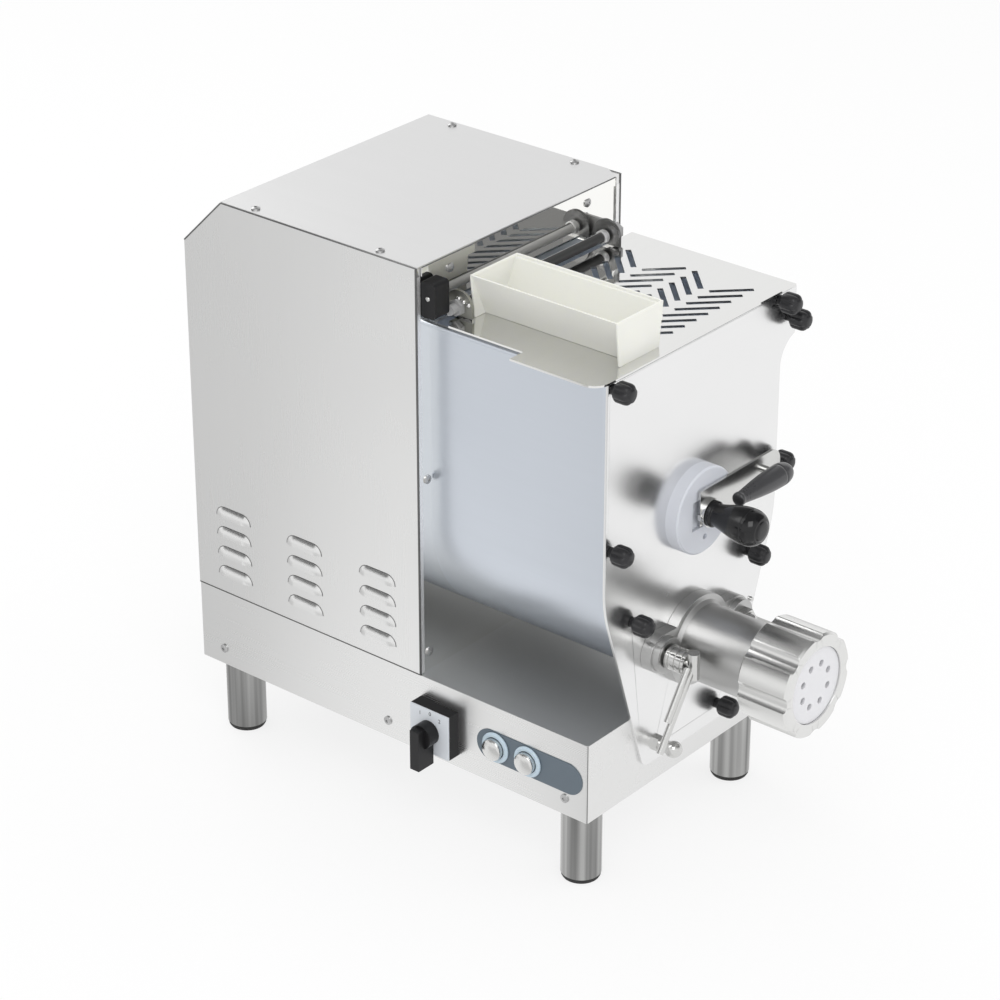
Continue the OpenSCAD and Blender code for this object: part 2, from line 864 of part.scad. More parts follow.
// Toothed wheel outline, with a tooth at the top that is turned by a share of a pitch
module gear_outline(teeth, turn) {
    pitch = gear_m * teeth / 2;
    tip = pitch + gear_m;
    root = pitch - (1 + gear_clear) * gear_m;
    flank_shares = [0, 0.35, 0.7, 1];
    up = [for (s = flank_shares) [root + s * (tip - root), -tooth_half(root + s * (tip - root), teeth)]];
    down = [for (i = [len(up) - 1 : -1 : 0]) [up[i][0], -up[i][1]]];
    polygon([for (t = [0 : teeth - 1]) for (p = concat(up, down))
        let (a = 90 + (t + turn) * 360 / teeth + p[1]) [p[0] * cos(a), p[0] * sin(a)]]);
}

// Spur gear on a hexagon of its shaft
module gear(teeth, turn, shaft_d, z, lightened) {
    hex = shaft_d / 2 * hex_share + hex_play;
    pitch = gear_m * teeth / 2;
    front_view(gear_y, gear_w) translate([0, z]) difference() {
        gear_outline(teeth, turn);
        circle(r = hex, $fn = 6);
        if (lightened) for (i = [0 : 5]) rotate(i * 60)
            translate([pitch * 0.55, 0]) circle(r = pitch * 0.19, $fn = 8);
    }
}

module mixer_gear() {
    color("gray") gear(mixer_teeth, 0, mixer_d, mixer_z, true);
}

module auger_gear() {
    color("gray") gear(auger_teeth, 0.5, auger_d, auger_z, false);
}

module counter_pinion() {
    color("gray") gear(pinion_teeth, 0.5, counter_d, counter_z, false);
}

// Stepped shaft through the gear case: round, with a hexagon inside the gear
module geared_shaft(d, z, front, back) {
    hex_y = gear_y;
    backward(0, front, z) cylinder(d = d, h = hex_y - front);
    backward(0, hex_y - over, z) cylinder(r = d / 2 * hex_share, h = gear_w + 2 * over, $fn = 6);
    backward(0, hex_y + gear_w, z) cylinder(d = d, h = back - hex_y - gear_w);
}

module counter_shaft() {
    color("lightgray") geared_shaft(counter_d, counter_z, case_in_y - bearing_w,
        pulley_y + pulley_w + shaft_end);
}

// Outline of the gear case, as x and z, grown by a wall
module case_outline(grow) {
    mixer_tip = gear_m * (mixer_teeth / 2 + 1) + case_tip_gap + grow;
    auger_tip = gear_m * (auger_teeth / 2 + 1) + case_tip_gap + grow;
    pinion_tip = gear_m * (pinion_teeth / 2 + 1) + case_tip_gap + grow;
    translate([0, mixer_z]) circle(r = mixer_tip);
    translate([0, auger_z]) circle(r = auger_tip);
    translate([0, counter_z]) circle(r = pinion_tip);
    translate([-auger_tip, auger_z]) square([2 * auger_tip, mixer_z - auger_z]);
    translate([-pinion_tip, mixer_z]) square([2 * pinion_tip, counter_z - mixer_z]);
}

// Cast case round the gears, with seats for the bearings
module gear_case() {
    front = wall_y + sheet_t;
    color("darkgray") difference() {
        front_view(front, case_back_y + case_wall - front) case_outline(case_skin);
        front_view(case_in_y, case_back_y - case_in_y) case_outline(0);
        for (s = shaft_table()) backward(0, front - over, s[1])
            cylinder(r = s[0] / 2 + bearing_ring, h = case_back_y + case_wall - front + 2 * over);
    }
}

// [diameter, height] of each shaft that runs in the gear case
function shaft_table() = [[mixer_d, mixer_z], [auger_d, auger_z], [counter_d, counter_z]];

// Bearings in the gear case, and the gaskets where the shafts enter the trough
module shaft_bearings() {
    color("white") {
        for (s = shaft_table(), y = [case_in_y - bearing_w, case_back_y])
            backward(0, y, s[1])
                ring(s[0] / 2 + bearing_ring - bearing_fit, s[0] / 2 + run_fit, bearing_w);
        for (s = [shaft_table()[0], shaft_table()[1]])
            backward(0, wall_y - trough_t - gasket_t, s[1])
                ring(s[0] / 2 + gasket_ring, s[0] / 2 + run_fit, gasket_t);
    }
}

// Mixing shaft from the gear case to the bearing disc
module mixer_shaft() {
    color("lightgray") geared_shaft(mixer_d, mixer_z, plate_y - disc_bore_l + seat_gap,
        case_back_y + bearing_w + shaft_tail);
}

// Five arms with turned blades, spread round the mixing shaft
module mixer_paddles() {
    span = wall_y - arm_first_y - arm_end_gap;
    color("lightgray") for (i = [0 : arm_count - 1])
        backward(0, arm_first_y + i * span / (arm_count - 1), mixer_z)
            rotate([0, 0, 90 + i * arm_step]) difference() {
                union() {
                    rotate([0, 90, 0]) cylinder(r = arm_r, h = paddle_r - blade_h / 2);
                    translate([paddle_r - blade_h, 0, 0]) rotate([blade_turn, 0, 0])
                        translate([0, -blade_t / 2, -blade_w / 2]) cube([blade_h, blade_t, blade_w]);
                }
                translate([0, 0, -blade_w]) cylinder(d = mixer_d - flight_sink, h = 2 * blade_w);
            }
}

// Shaft of the auger, with a nose that turns in the die
module auger_shaft() {
    nose_y = die_y - nose_l + seat_gap;
    color("lightgray") {
        geared_shaft(auger_d, auger_z, die_y + chamber_l / 2, case_back_y + bearing_w + shaft_tail);
        forward(0, die_y + chamber_l / 2 + over, auger_z)
            cylinder(r = auger_nose_r, h = die_y + chamber_l / 2 + over - nose_y);
    }
}

// Helical flight, swept as one closed band round the auger's shaft
function flight_ring(i, step, turns_start) =
    let (a = i * 360 / flight_steps, y = turns_start - i * step,
        low = auger_d / 2 - flight_sink, t = flight_t / 2)
    [[low * cos(a), y - t, low * sin(a)], [auger_r * cos(a), y - t, auger_r * sin(a)],
        [auger_r * cos(a), y + t, auger_r * sin(a)], [low * cos(a), y + t, low * sin(a)]];

module auger_flight() {
    start = wall_y - trough_t - gasket_t - flight_back_gap;
    end = die_y + chamber_l + flight_t;
    step = flight_pitch / flight_steps;
    rings = floor((start - end) / step);
    points = [for (i = [0 : rings], p = flight_ring(i, step, start)) p];
    sides = [for (i = [0 : rings - 1], k = [0 : 3])
        let (a = 4 * i + k, b = 4 * i + (k + 1) % 4) each [[a, a + 4, b], [b, a + 4, b + 4]]];
    ends = [[0, 1, 2], [0, 2, 3], [4 * rings + 2, 4 * rings + 1, 4 * rings],
        [4 * rings + 3, 4 * rings + 2, 4 * rings]];
    color("silver") translate([0, 0, auger_z]) polyhedron(points = points, faces = concat(sides, ends));
}

// Outline of the trough, as x and z
module trough_outline(r) {
    translate([0, trough_z]) circle(r = r, $fn = 96);
    translate([-r, trough_z]) square([2 * r, rim_z - trough_z]);
}

// The ear on the right of the front plate and of the trough's front ring
module ear_outline(inner) {
    drop = plate_top_z - ear_drop;
    difference() {
        translate([inner, drop]) square([ear_reach - inner, ear_drop]);
        translate([plate_r + ear_curve, drop]) circle(r = ear_curve);
    }
}

// Trough: sheet bent to a U with a back wall, rim beads and a front ring
module trough() {
    back = wall_y - trough_t;
    color("lightsteelblue") difference() {
        union() {
            front_view(0, wall_y) difference() {
                trough_outline(trough_r);
                trough_outline(trough_r - trough_t);
                translate([-trough_r, rim_z - trough_t]) square([2 * trough_r, 2 * trough_t]);
            }
            front_view(back, trough_t) trough_outline(trough_r - trough_t / 2);
            for (side = [-1, 1])
                backward(side * (trough_r - trough_t / 2), 0, rim_z) cylinder(r = bead_r, h = wall_y);
            front_view(0, ring_t) difference() {
                union() {
                    trough_outline(trough_r + trough_t);
                    ear_outline(trough_r);
                }
                trough_outline(trough_r - ring_in);
                translate([-trough_r + ring_in / 3, mixer_z]) square([2 * (trough_r - ring_in / 3), rim_h]);
            }
        }
        backward(0, back - over, mixer_z) cylinder(r = mixer_d / 2 + over, h = trough_t + 2 * over);
        backward(0, back - over, auger_z) cylinder(r = auger_d / 2 + over, h = trough_t + 2 * over);
        backward(0, -over, auger_z) cylinder(r = bore_r, h = ring_t + 2 * over);
        backward(0, ring_t, auger_z) cylinder(r = auger_r + over, h = back - ring_t);
    }
}

// Outline of the front plate: round as the trough, narrow at its foot, with an ear
module plate_outline() {
    foot_z = leg_h + plate_foot_up + plate_foot_r;
    hull() {
        translate([0, trough_z]) circle(r = plate_r, $fn = 96);
        translate([-plate_r, trough_z]) square([2 * plate_r, plate_top_z - trough_z]);
        for (side = [-1, 1]) translate([side * (plate_foot_w / 2 - plate_foot_r), foot_z])
            circle(r = plate_foot_r, $fn = 32);
    }
    ear_outline(plate_r - over);
}

function stud_places() = [
    [-knob_top[0], knob_top[1]], knob_top, knob_ear_at, [-knob_mid[0], knob_mid[1]], knob_mid,
    [-knob_low[0], knob_low[1]], knob_low, [-knob_foot[0], knob_foot[1]], knob_foot];

// Front plate with bores for the shaft, the auger and the studs
module front_plate() {
    color("gainsboro") difference() {
        front_view(plate_y, plate_t) plate_outline();
        backward(0, plate_y - over, mixer_z) cylinder(r = mixer_d / 2 + over, h = plate_t + 2 * over);
        backward(0, plate_y - over, auger_z) cylinder(r = bore_r, h = plate_t + 2 * over);
        for (p = stud_places()) backward(p[0], plate_y - over, p[1])
            cylinder(r = stud_r + stud_play, h = plate_t + 2 * over);
        backward(plate_screw_x, plate_y - over, deck_z + plate_screw_up)
            cylinder(r = plate_screw_r, h = plate_t + 2 * over);
    }
}

// Studs that the knobs turn on, and the small screw beside the barrel
module plate_studs() {
    color("silver") {
        for (p = stud_places()) forward(p[0], 0, p[1]) cylinder(r = stud_r, h = plate_t + stud_l);
        forward(plate_screw_x, 0, deck_z + plate_screw_up)
            cylinder(r = plate_screw_r - screw_play, h = plate_t + screw_head_h);
    }
}

// Polished cap nut on the lower left stud
module cap_nut() {
    color("white") forward(-knob_foot[0], plate_y, knob_foot[1]) difference() {
        union() {
            cylinder(r = cap_hex_r, h = cap_hex_h, $fn = 6);
            translate([0, 0, cap_hex_h]) cylinder(r = cap_hex_r * 0.8, h = stud_l - cap_hex_h);
            translate([0, 0, stud_l]) sphere(r = cap_ball_r);
        }
        translate([0, 0, -over]) cylinder(r = stud_r + bearing_fit, h = stud_l + over + seat_gap);
    }
}

// Lobed clamping knob on a stud, drawn at [x, z] of the front plate
module knob(at) {
    r = knob_d / 2 - knob_lobe_r;
    color("black") forward(at[0], plate_y - seat_gap, at[1]) difference() {
        union() {
            cylinder(r = knob_neck_r, h = knob_neck_l + over);
            translate([0, 0, knob_neck_l]) {
                cylinder(r = r + over, h = knob_l);
                for (i = [0 : knob_lobes - 1]) rotate([0, 0, i * 360 / knob_lobes])
                    translate([r, 0, 0]) cylinder(r = knob_lobe_r, h = knob_l - knob_cap_h);
                translate([0, 0, knob_l]) cylinder(r = r - over, h = knob_cap_h);
            }
        }
        translate([0, 0, -over]) cylinder(r = stud_r + run_fit, h = stud_l + over + seat_gap);
    }
}

module knob_top_left() { knob([-knob_top[0], knob_top[1]]); }
module knob_top_right() { knob(knob_top); }
module knob_ear() { knob(knob_ear_at); }
module knob_mid_left() { knob([-knob_mid[0], knob_mid[1]]); }
module knob_mid_right() { knob(knob_mid); }
module knob_low_left() { knob([-knob_low[0], knob_low[1]]); }
module knob_low_right() { knob(knob_low); }
module knob_foot_right() { knob(knob_foot); }

// White plastic disc that carries the front end of the mixing shaft
module bearing_disc() {
    color("whitesmoke") forward(0, plate_y, mixer_z) difference() {
        rotate_extrude() polygon([[0, 0], [disc_r, 0], [disc_r, disc_t - disc_edge],
            [disc_r - disc_edge, disc_t], [0, disc_t]]);
        translate([0, 0, -over]) cylinder(d = mixer_d + 2 * run_fit, h = disc_bore_l + over);
        translate([0, 0, disc_bore_l + disc_web]) cylinder(r = spigot_r + run_fit, h = disc_t);
        translate([-disc_recess[0] / 2, -disc_recess[1] / 2, disc_t - disc_recess_deep])
            cube([disc_recess[0], disc_recess[1], disc_recess_deep + over]);
        translate([0, -plug_ring, disc_t - disc_recess_deep]) cylinder(r = plug_r, h = disc_t);
    }
}

// Hub and flat bar of the lever in front of the disc
module lever_arm() {
    color("silver") forward(0, plate_y - disc_t, mixer_z) {
        translate([0, 0, -disc_t + disc_bore_l + disc_web + seat_gap])
            cylinder(r = spigot_r, h = disc_t - disc_bore_l - disc_web + over);
        translate([0, 0, seat_gap]) cylinder(r = hub_r, h = hub_l - seat_gap);
        translate([-hub_r - set_screw_h, 0, hub_l / 2]) rotate([0, 90, 0])
            cylinder(r = set_screw_r, h = hub_r, $fn = 6);
        translate([0, arm_bar_up, arm_bar_at]) linear_extrude(height = arm_bar_t) {
            translate([-hub_r, -arm_bar_w / 2]) square([arm_bar_reach + hub_r - arm_end_r, arm_bar_w]);
            translate([arm_bar_reach - 2 * arm_end_r, -arm_bar_w / 2 + arm_end_r])
                square([2 * arm_end_r, arm_bar_w - 2 * arm_end_r]);
            for (side = [-1, 1]) translate([arm_bar_reach - arm_end_r, side * (arm_bar_w / 2 - arm_end_r)])
                circle(r = arm_end_r);
        }
        translate([post_x, grip_up, arm_bar_at]) cylinder(r = post_r, h = grip_off - grip_r / 2);
    }
}

// Tapered handle with a round end, along +Z
module tapered_handle(neck, thick, l, tip) {
    rotate_extrude() polygon(concat([[0, 0], [neck, 0], [neck, l / 10]],
        [for (s = [0 : 0.125 : 1]) [neck + (thick - neck) * sin(90 * s), l * (0.1 + 0.62 * s)]],
        [for (a = [10 : 10 : 90]) [thick * cos(a), l * 0.72 + (l * 0.28 + tip) * sin(a)]]));
}

// Black handle in line with the shaft
module axis_handle() {
    color("black") forward(0, plate_y - disc_t - hub_l, mixer_z) {
        tapered_handle(handle_neck_r, handle_r, handle_l, handle_tip);
        cylinder(r = handle_collar_r, h = handle_collar_h);
    }
}

// Dark handle along the lever's bar
module side_handle() {
    y = plate_y - disc_t - arm_bar_at - arm_bar_t - grip_off;
    l = grip_to - grip_from;
    color("dimgray") difference() {
        translate([grip_from, y, mixer_z + grip_up]) rotate([0, 90, 0])
            tapered_handle(grip_neck_r, grip_r, l * 0.94, l * 0.06);
        forward(post_x, plate_y - disc_t - arm_bar_at, mixer_z + grip_up)
            cylinder(r = post_r + bearing_fit, h = grip_off - grip_r / 2 + seat_gap);
    }
}

// Bolts of the flange's ears on the left and the right, seen from the front
function ear_places() = [[-ear_x, ear_up], [ear_x, far_ear_up]];

// Barrel with its eared flange and threaded collar
module barrel() {
    l = plate_y - die_y;
    color("lightgray") forward(0, plate_y, auger_z) difference() {
        union() {
            cylinder(r = flange_r, h = flange_t);
            for (at = ear_places()) translate(at) {
                cylinder(r = ear_r, h = flange_t);
                cylinder(r = ear_r * 0.9, h = flange_t + boss_t);
            }
            linear_extrude(height = flange_t) polygon(concat(
                [for (at = ear_places()) at - [0, ear_r]],
                [for (i = [1, 0]) ear_places()[i] + [0, ear_r]]));
            cylinder(r = barrel_r, h = l);
            translate([0, 0, flange_t - over])
                cylinder(r1 = barrel_r + flange_fillet, r2 = barrel_r, h = flange_fillet + over);
            translate([0, 0, l - collar_l]) cylinder(r = collar_r, h = collar_l);
        }
        translate([0, 0, -over]) cylinder(r = bore_r, h = l + 2 * over);
        translate([0, 0, l - chamber_l]) cylinder(r = chamber_r, h = chamber_l + over);
        for (at = ear_places()) translate([at[0], at[1], -over])
            cylinder(r = clamp_stud_r + stud_play, h = flange_t + boss_t + 2 * over);
    }
}

// Stud of the clamp on the left, and the fixed bolt on the right
module barrel_fixings() {
    color("silver") {
        forward(-ear_x, plate_y, clamp_z) cylinder(r = clamp_stud_r, h = flange_t + boss_t + clamp_stud_l);
        forward(ear_x, plate_y, auger_z + far_ear_up) {
            cylinder(r = clamp_stud_r, h = flange_t + boss_t + over);
            translate([0, 0, flange_t + boss_t]) {
                cylinder(r = side_nut_r, h = side_nut_h, $fn = 6);
                translate([0, 0, side_nut_h]) sphere(r = side_dome_r);
            }
        }
    }
}

// Die: a shouldered disc with a ring of holes
module die() {
    face = die_t + nut_lip - die_face_back;
    color("whitesmoke") forward(0, die_y, auger_z) difference() {
        union() {
            cylinder(r = die_shoulder, h = die_t);
            cylinder(r = die_r, h = face);
        }
        for (i = [0 : die_holes - 1]) rotate([0, 0, (i + 0.5) * 360 / die_holes])
            translate([die_ring, 0, -over]) cylinder(d = die_hole_d, h = face + 2 * over);
        translate([0, 0, -over]) cylinder(r = auger_nose_r + run_fit, h = nose_l + over);
    }
}

// Scalloped ring nut that holds the die on the barrel
module ring_nut() {
    color("silver") forward(0, head_front + nut_l, auger_z) difference() {
        rotate_extrude() polygon([[die_r + seat_gap, 0], [nut_r - nut_edge, 0], [nut_r, nut_edge],
            [nut_r, nut_l - nut_edge], [nut_r - nut_edge, nut_l], [die_r + seat_gap, nut_l]]);
        translate([0, 0, -over]) cylinder(r = collar_r + run_fit, h = nut_l - nut_lip + over + seat_gap);
        for (i = [0 : nut_scallops - 1]) rotate([0, 0, i * 360 / nut_scallops])
            translate([nut_r + scallop_r - scallop_deep, 0, -over])
                cylinder(r = scallop_r, h = nut_l + 2 * over);
    }
}

// Nut of the clamp, with grip rings and the cross piece at its end
module clamp_head() {
    color("silver") forward(-ear_x, clamp_y - clamp_gap, clamp_z) difference() {
        union() {
            cylinder(r = clamp_hub_r - clamp_rib, h = clamp_hub_l);
            for (i = [0 : clamp_hub_ribs - 1])
                translate([0, 0, i * clamp_hub_l / clamp_hub_ribs])
                    cylinder(r = clamp_hub_r, h = clamp_hub_l / clamp_hub_ribs / 2);
            translate([0, -tee_l / 2, clamp_hub_l + tee_r - over]) rotate([-90, 0, 0])
                cylinder(r = tee_r, h = tee_l);
        }
        translate([0, 0, -over])
            cylinder(r = clamp_stud_r + run_fit, h = clamp_stud_l - clamp_gap + over + seat_gap);
    }
}

// Two rods of the clamp's lever, hanging down to the left
module clamp_lever() {
    y = clamp_y - clamp_gap - clamp_hub_l - tee_r + over;
    color("silver") translate([-ear_x, y, clamp_z]) rotate([0, rod_turn, 0]) difference() {
        union() {
            translate([0, 0, -rod_l]) cylinder(r = rod_r, h = rod_l);
            translate([-rod_pitch, 0, -rod_short_l]) cylinder(r = rod_r, h = rod_short_l - rod_pitch / 2);
            translate([-rod_pitch, -rod_r / 2, -rod_pitch - rod_r]) cube([rod_pitch, rod_r, rod_pitch]);
        }
        rotate([0, -rod_turn, 0]) translate([0, 0, -tee_l])
            cylinder(r = tee_r + bearing_fit, h = 2 * tee_l);
        rotate([0, -rod_turn, 0]) rotate([-90, 0, 0])
            cylinder(r = clamp_hub_r + bearing_fit, h = clamp_hub_l);
    }
}

// Outline of the lid seen from above
module lid_outline() {
    front = plate_y - lid_front_over;
    back = wall_y - lid_back_gap;
    difference() {
        translate([-half_w, front]) square([base_w, back - front]);
        translate([-half_w - over, lid_notch_y]) square([lid_notch + over, base_l]);
        translate([-half_w - over, front - over])
            square([lid_corner_r + over, lid_corner_r + over]);
        translate([-half_w - over, wall_y - switch_box[1] - switch_notch])
            square([half_w + over - hinge_end + bracket_gap, base_l]);
    }
    translate([-half_w + lid_corner_r, front + lid_corner_r]) circle(r = lid_corner_r);
}

// Herringbone slots: rows of slots that lean one way, then the other
module lid_slots() {
    for (row = [0 : slot_rows - 1], col = [0 : slot_cols - 1])
        translate([slot_first_x - col * slot_pitch_x, slot_first_y + row * slot_pitch_y])
            rotate(row % 2 == 0 ? -slot_turn : slot_turn) square([slot_l, slot_w], center = true);
}

// Lid with its slots, the feed opening and two hinge ears
module lid() {
    color("gainsboro") difference() {
        union() {
            translate([0, 0, lid_under]) linear_extrude(height = lid_t) difference() {
                lid_outline();
                lid_slots();
                translate([hopper_x - hopper_slot_w / 2, hopper_y + hopper_slot_in])
                    square([hopper_slot_w, hopper_l - 2 * hopper_slot_in]);
            }
            for (side = [-1, 1]) side_view(side * ear_at - ear_t / 2, ear_t) {
                translate([rod_y, rod_z]) circle(r = ear_round);
                translate([rod_y - ear_round, lid_under]) square([2 * ear_round, rod_up + lid_t]);
            }
        }
        for (side = [-1, 1]) translate([side * ear_at - ear_t, rod_y, rod_z]) rotate([0, 90, 0])
            cylinder(r = hinge_rod_r + run_fit, h = 2 * ear_t);
        translate([-half_w, wall_y - seat_gap, lid_under - ear_round]) cube([base_w, base_l, rim_h]);
        translate([-half_w, rod_y - ear_round - over, lid_under - rod_up - ear_round])
            cube([base_w, 2 * ear_round + 2 * over, rod_up + ear_round]);
    }
}

// Hopper profile: an upright V, as x and z from its foot
module hopper_profile(inset) {
    foot = hopper_w * hopper_foot_share / 2;
    polygon([[-foot + inset, 0], [foot - inset, 0], [hopper_w / 2 - inset, hopper_h],
        [-hopper_w / 2 + inset, hopper_h]]);
}

// White hopper on the lid, open at the top and with a slot below
module hopper() {
    color("white") translate([hopper_x, 0, lid_z]) difference() {
        union() {
            front_view(hopper_y + hopper_t / 2, hopper_l - hopper_t) hopper_profile(0);
            for (y = [hopper_y, hopper_y + hopper_l - hopper_t]) front_view(y, hopper_t)
                polygon([[-hopper_end_foot / 2, 0], [hopper_end_foot / 2, 0],
                    [hopper_w / 2, hopper_h], [-hopper_w / 2, hopper_h]]);
        }
        translate([0, 0, hopper_t])
            front_view(hopper_y + hopper_t, hopper_l - 2 * hopper_t) intersection() {
                hopper_profile(hopper_t);
                translate([-hopper_w / 2, 0]) square([hopper_w, hopper_h + over]);
            }
        translate([0, 0, hopper_h - hopper_t])
            front_view(hopper_y + hopper_t, hopper_l - 2 * hopper_t)
                translate([-hopper_w / 2 + hopper_t, 0])
                    square([hopper_w - 2 * hopper_t, hopper_t + over]);
        translate([-hopper_slot_w / 2, hopper_y + hopper_slot_in, -over])
            cube([hopper_slot_w, hopper_l - 2 * hopper_slot_in, hopper_t + 2 * over]);
    }
}

// Hinge rod, its right bracket and the nuts on its ends
module lid_hinge() {
    inner = ear_at + ear_t / 2 + seat_gap;
    bracket_x = inner + nut_h + bracket_gap;
    color("dimgray") {
        translate([-hinge_end, rod_y, rod_z]) rotate([0, 90, 0])
            cylinder(r = hinge_rod_r, h = hinge_end + bracket_x + bracket_t + nut_h);
        for (x = [-inner - nut_h, inner, bracket_x + bracket_t]) translate([x, rod_y, rod_z])
            rotate([0, 90, 0]) ring(nut_w, hinge_rod_r, nut_h, $fn = 6);
        difference() {
            side_view(bracket_x, bracket_t) {
                translate([rod_y, rod_z]) circle(r = bracket_r);
                translate([rod_y, rod_z - bracket_r]) square([wall_y - rod_y, 2 * bracket_r]);
            }
            translate([bracket_x - over, rod_y, rod_z]) rotate([0, 90, 0])
                cylinder(r = hinge_rod_r + bearing_fit, h = bracket_t + 2 * over);
        }
    }
}

// Black lid switch on the inner wall, at the left end of the hinge rod
module safety_switch() {
    color("black") {
        translate([-hinge_end - switch_box[0], wall_y - switch_box[1], lid_z + bracket_gap])
            cube(switch_box);
        outward(-hinge_end - switch_box[0] + over, wall_y - switch_box[1] / 2,
            lid_z + bracket_gap + switch_box[2] / 2) cylinder(r = switch_cap_r, h = switch_cap_h);
    }
}

// Switch housing on the wall and its contact block inside the base
module switch_body() {
    color("black") difference() {
        union() {
            translate([-half_w - switch_deep, switch_y - switch_w / 2, switch_z - switch_w / 2])
                cube([switch_deep, switch_w, switch_w]);
            translate([-half_w - over, switch_y - block_w / 2 + panel_gap, switch_z - block_w / 2 + panel_gap])
                cube([block_l, block_w - 2 * panel_gap, block_w - 2 * panel_gap]);
        }
        outward(-half_w - switch_deep + spindle_in, switch_y, switch_z)
            cylinder(r = spindle_r + run_fit, h = spindle_in + over);
    }
}

module switch_plate() {
    color("white") difference() {
        translate([switch_x, switch_y - switch_w / 2, switch_z - switch_w / 2])
            cube([switch_plate_t, switch_w, switch_w]);
        outward(switch_x + switch_plate_t + over, switch_y, switch_z)
            cylinder(r = spindle_r + run_fit, h = switch_plate_t + 2 * over);
    }
}

// Turning grip of the switch with its spindle
module switch_knob() {
    color("black") outward(switch_x - seat_gap, switch_y, switch_z) {
        cylinder(r = boss_r, h = boss_h);
        translate([-grip_l, -grip_w / 2, 0]) cube([grip_l + grip_root, grip_w, grip_reach - seat_gap]);
        translate([0, 0, -spindle_in]) cylinder(r = spindle_r, h = spindle_in + over);
    }
}

// Oblong label plate with the two button bezels
module control_label() {
    r = label_h / 2;
    color("slategray") difference() {
        union() {
            outward(-half_w, 0, button_z) linear_extrude(height = label_t) {
                translate([-r, label_ends[0] + r]) square([label_h, label_ends[1] - label_ends[0] - label_h]);
                for (y = [label_ends[0] + r, label_ends[1] - r]) translate([0, y]) circle(r = r);
            }
            for (y = button_ys) outward(-half_w, y, button_z)
                cylinder(r = button_d / 2 + bezel_w, h = bezel_h);
        }
        for (y = button_ys) outward(-half_w + over, y, button_z)
            cylinder(r = button_d / 2 + run_fit, h = bezel_h + 2 * over);
    }
}

// Push button with a domed cap, free to travel inwards
module push_button(y) {
    r = button_d / 2;
    dome = (r * r + button_dome * button_dome) / (2 * button_dome);
    top = bezel_h + button_out;
    color("lightgray") outward(-half_w, y, button_z) {
        translate([0, 0, -button_in]) cylinder(r = r, h = button_in + top);
        translate([0, 0, top]) intersection() {
            translate([0, 0, button_dome - dome]) sphere(r = dome);
            translate([0, 0, -over]) cylinder(r = r, h = button_dome + over);
        }
    }
}

module start_button() { push_button(button_ys[0]); }
module stop_button() { push_button(button_ys[1]); }

placed() {
    base_shell();
    base_floor();
    legs();
    foot_pads();
    left_panel();
    right_panel();
    rear_panel();
    top_cover();
    inner_wall();
    panel_screws();
    cable_gland();
    control_unit();
    motor();
    motor_fan_cover();
    motor_rotor();
    motor_pulley();
    drive_belt();
    counter_shaft();
    driven_pulley();
    counter_pinion();
    gear_case();
    shaft_bearings();
    mixer_shaft();
    mixer_paddles();
    mixer_gear();
    auger_shaft();
    auger_flight();
    auger_gear();
    trough();
    front_plate();
    plate_studs();
    cap_nut();
    bearing_disc();
    lever_arm();
    axis_handle();
    side_handle();
    barrel();
    barrel_fixings();
    die();
    ring_nut();
    clamp_head();
    clamp_lever();
    lid();
    hopper();
    lid_hinge();
    safety_switch();
    switch_body();
    switch_plate();
    switch_knob();
    control_label();
    start_button();
    stop_button();
    knob_top_left();
    knob_top_right();
    knob_ear();
    knob_mid_left();
    knob_mid_right();
    knob_low_left();
    knob_low_right();
    knob_foot_right();
}
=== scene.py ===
"""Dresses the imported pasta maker: steel, plastic and rubber finishes on the CAD
solids, and turned, moulded or swept surfaces where the solids are plain.
"""

import math

import bmesh
import bpy
import numpy as np
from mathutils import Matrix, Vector


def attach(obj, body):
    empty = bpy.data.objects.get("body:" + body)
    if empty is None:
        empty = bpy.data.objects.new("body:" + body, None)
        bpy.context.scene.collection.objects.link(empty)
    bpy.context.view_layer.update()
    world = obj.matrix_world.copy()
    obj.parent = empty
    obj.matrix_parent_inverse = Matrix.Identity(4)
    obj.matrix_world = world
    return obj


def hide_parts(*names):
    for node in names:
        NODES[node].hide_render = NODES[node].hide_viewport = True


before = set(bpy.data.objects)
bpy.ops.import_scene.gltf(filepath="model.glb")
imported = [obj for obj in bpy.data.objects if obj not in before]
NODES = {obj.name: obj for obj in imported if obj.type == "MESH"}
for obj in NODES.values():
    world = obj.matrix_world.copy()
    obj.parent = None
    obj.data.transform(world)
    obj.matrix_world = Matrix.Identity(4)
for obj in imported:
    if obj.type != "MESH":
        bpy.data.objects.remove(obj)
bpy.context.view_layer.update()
MM = 0.001

# Places in the part's own drawing, in millimetres: x goes across, y back and z up.
SIDE = 150.0
CASE_FRONT, CASE_BACK, CASE_TOP = 205.0, 500.0, 592.0
DECK = 168.0
LID = 535.4
ROD_Y, ROD_Z = 188.0, LID + 11
AUGER_Z, SHAFT_Z = 222.0, 360.0
PLATE_TOP = DECK + 363.5
SWITCH_Y, SWITCH_Z = 182.0, 120.5
BUTTON_Z = 124.5

# Where the drawing's origin lies in the frame, in metres.
ORIGIN_X, ORIGIN_Y = 0.0165, -0.182

# Edges sharper than these are eased by a bevel, or split for the shading.
EASED_ANGLE, CRISP_ANGLE = math.radians(50), math.radians(32)


def place(x, y, z):
    """A point of the part's own drawing, in millimetres, as one of the frame, in metres."""
    return np.array([x * MM + ORIGIN_X, y * MM + ORIGIN_Y, z * MM])


# Shader graphs and finishes


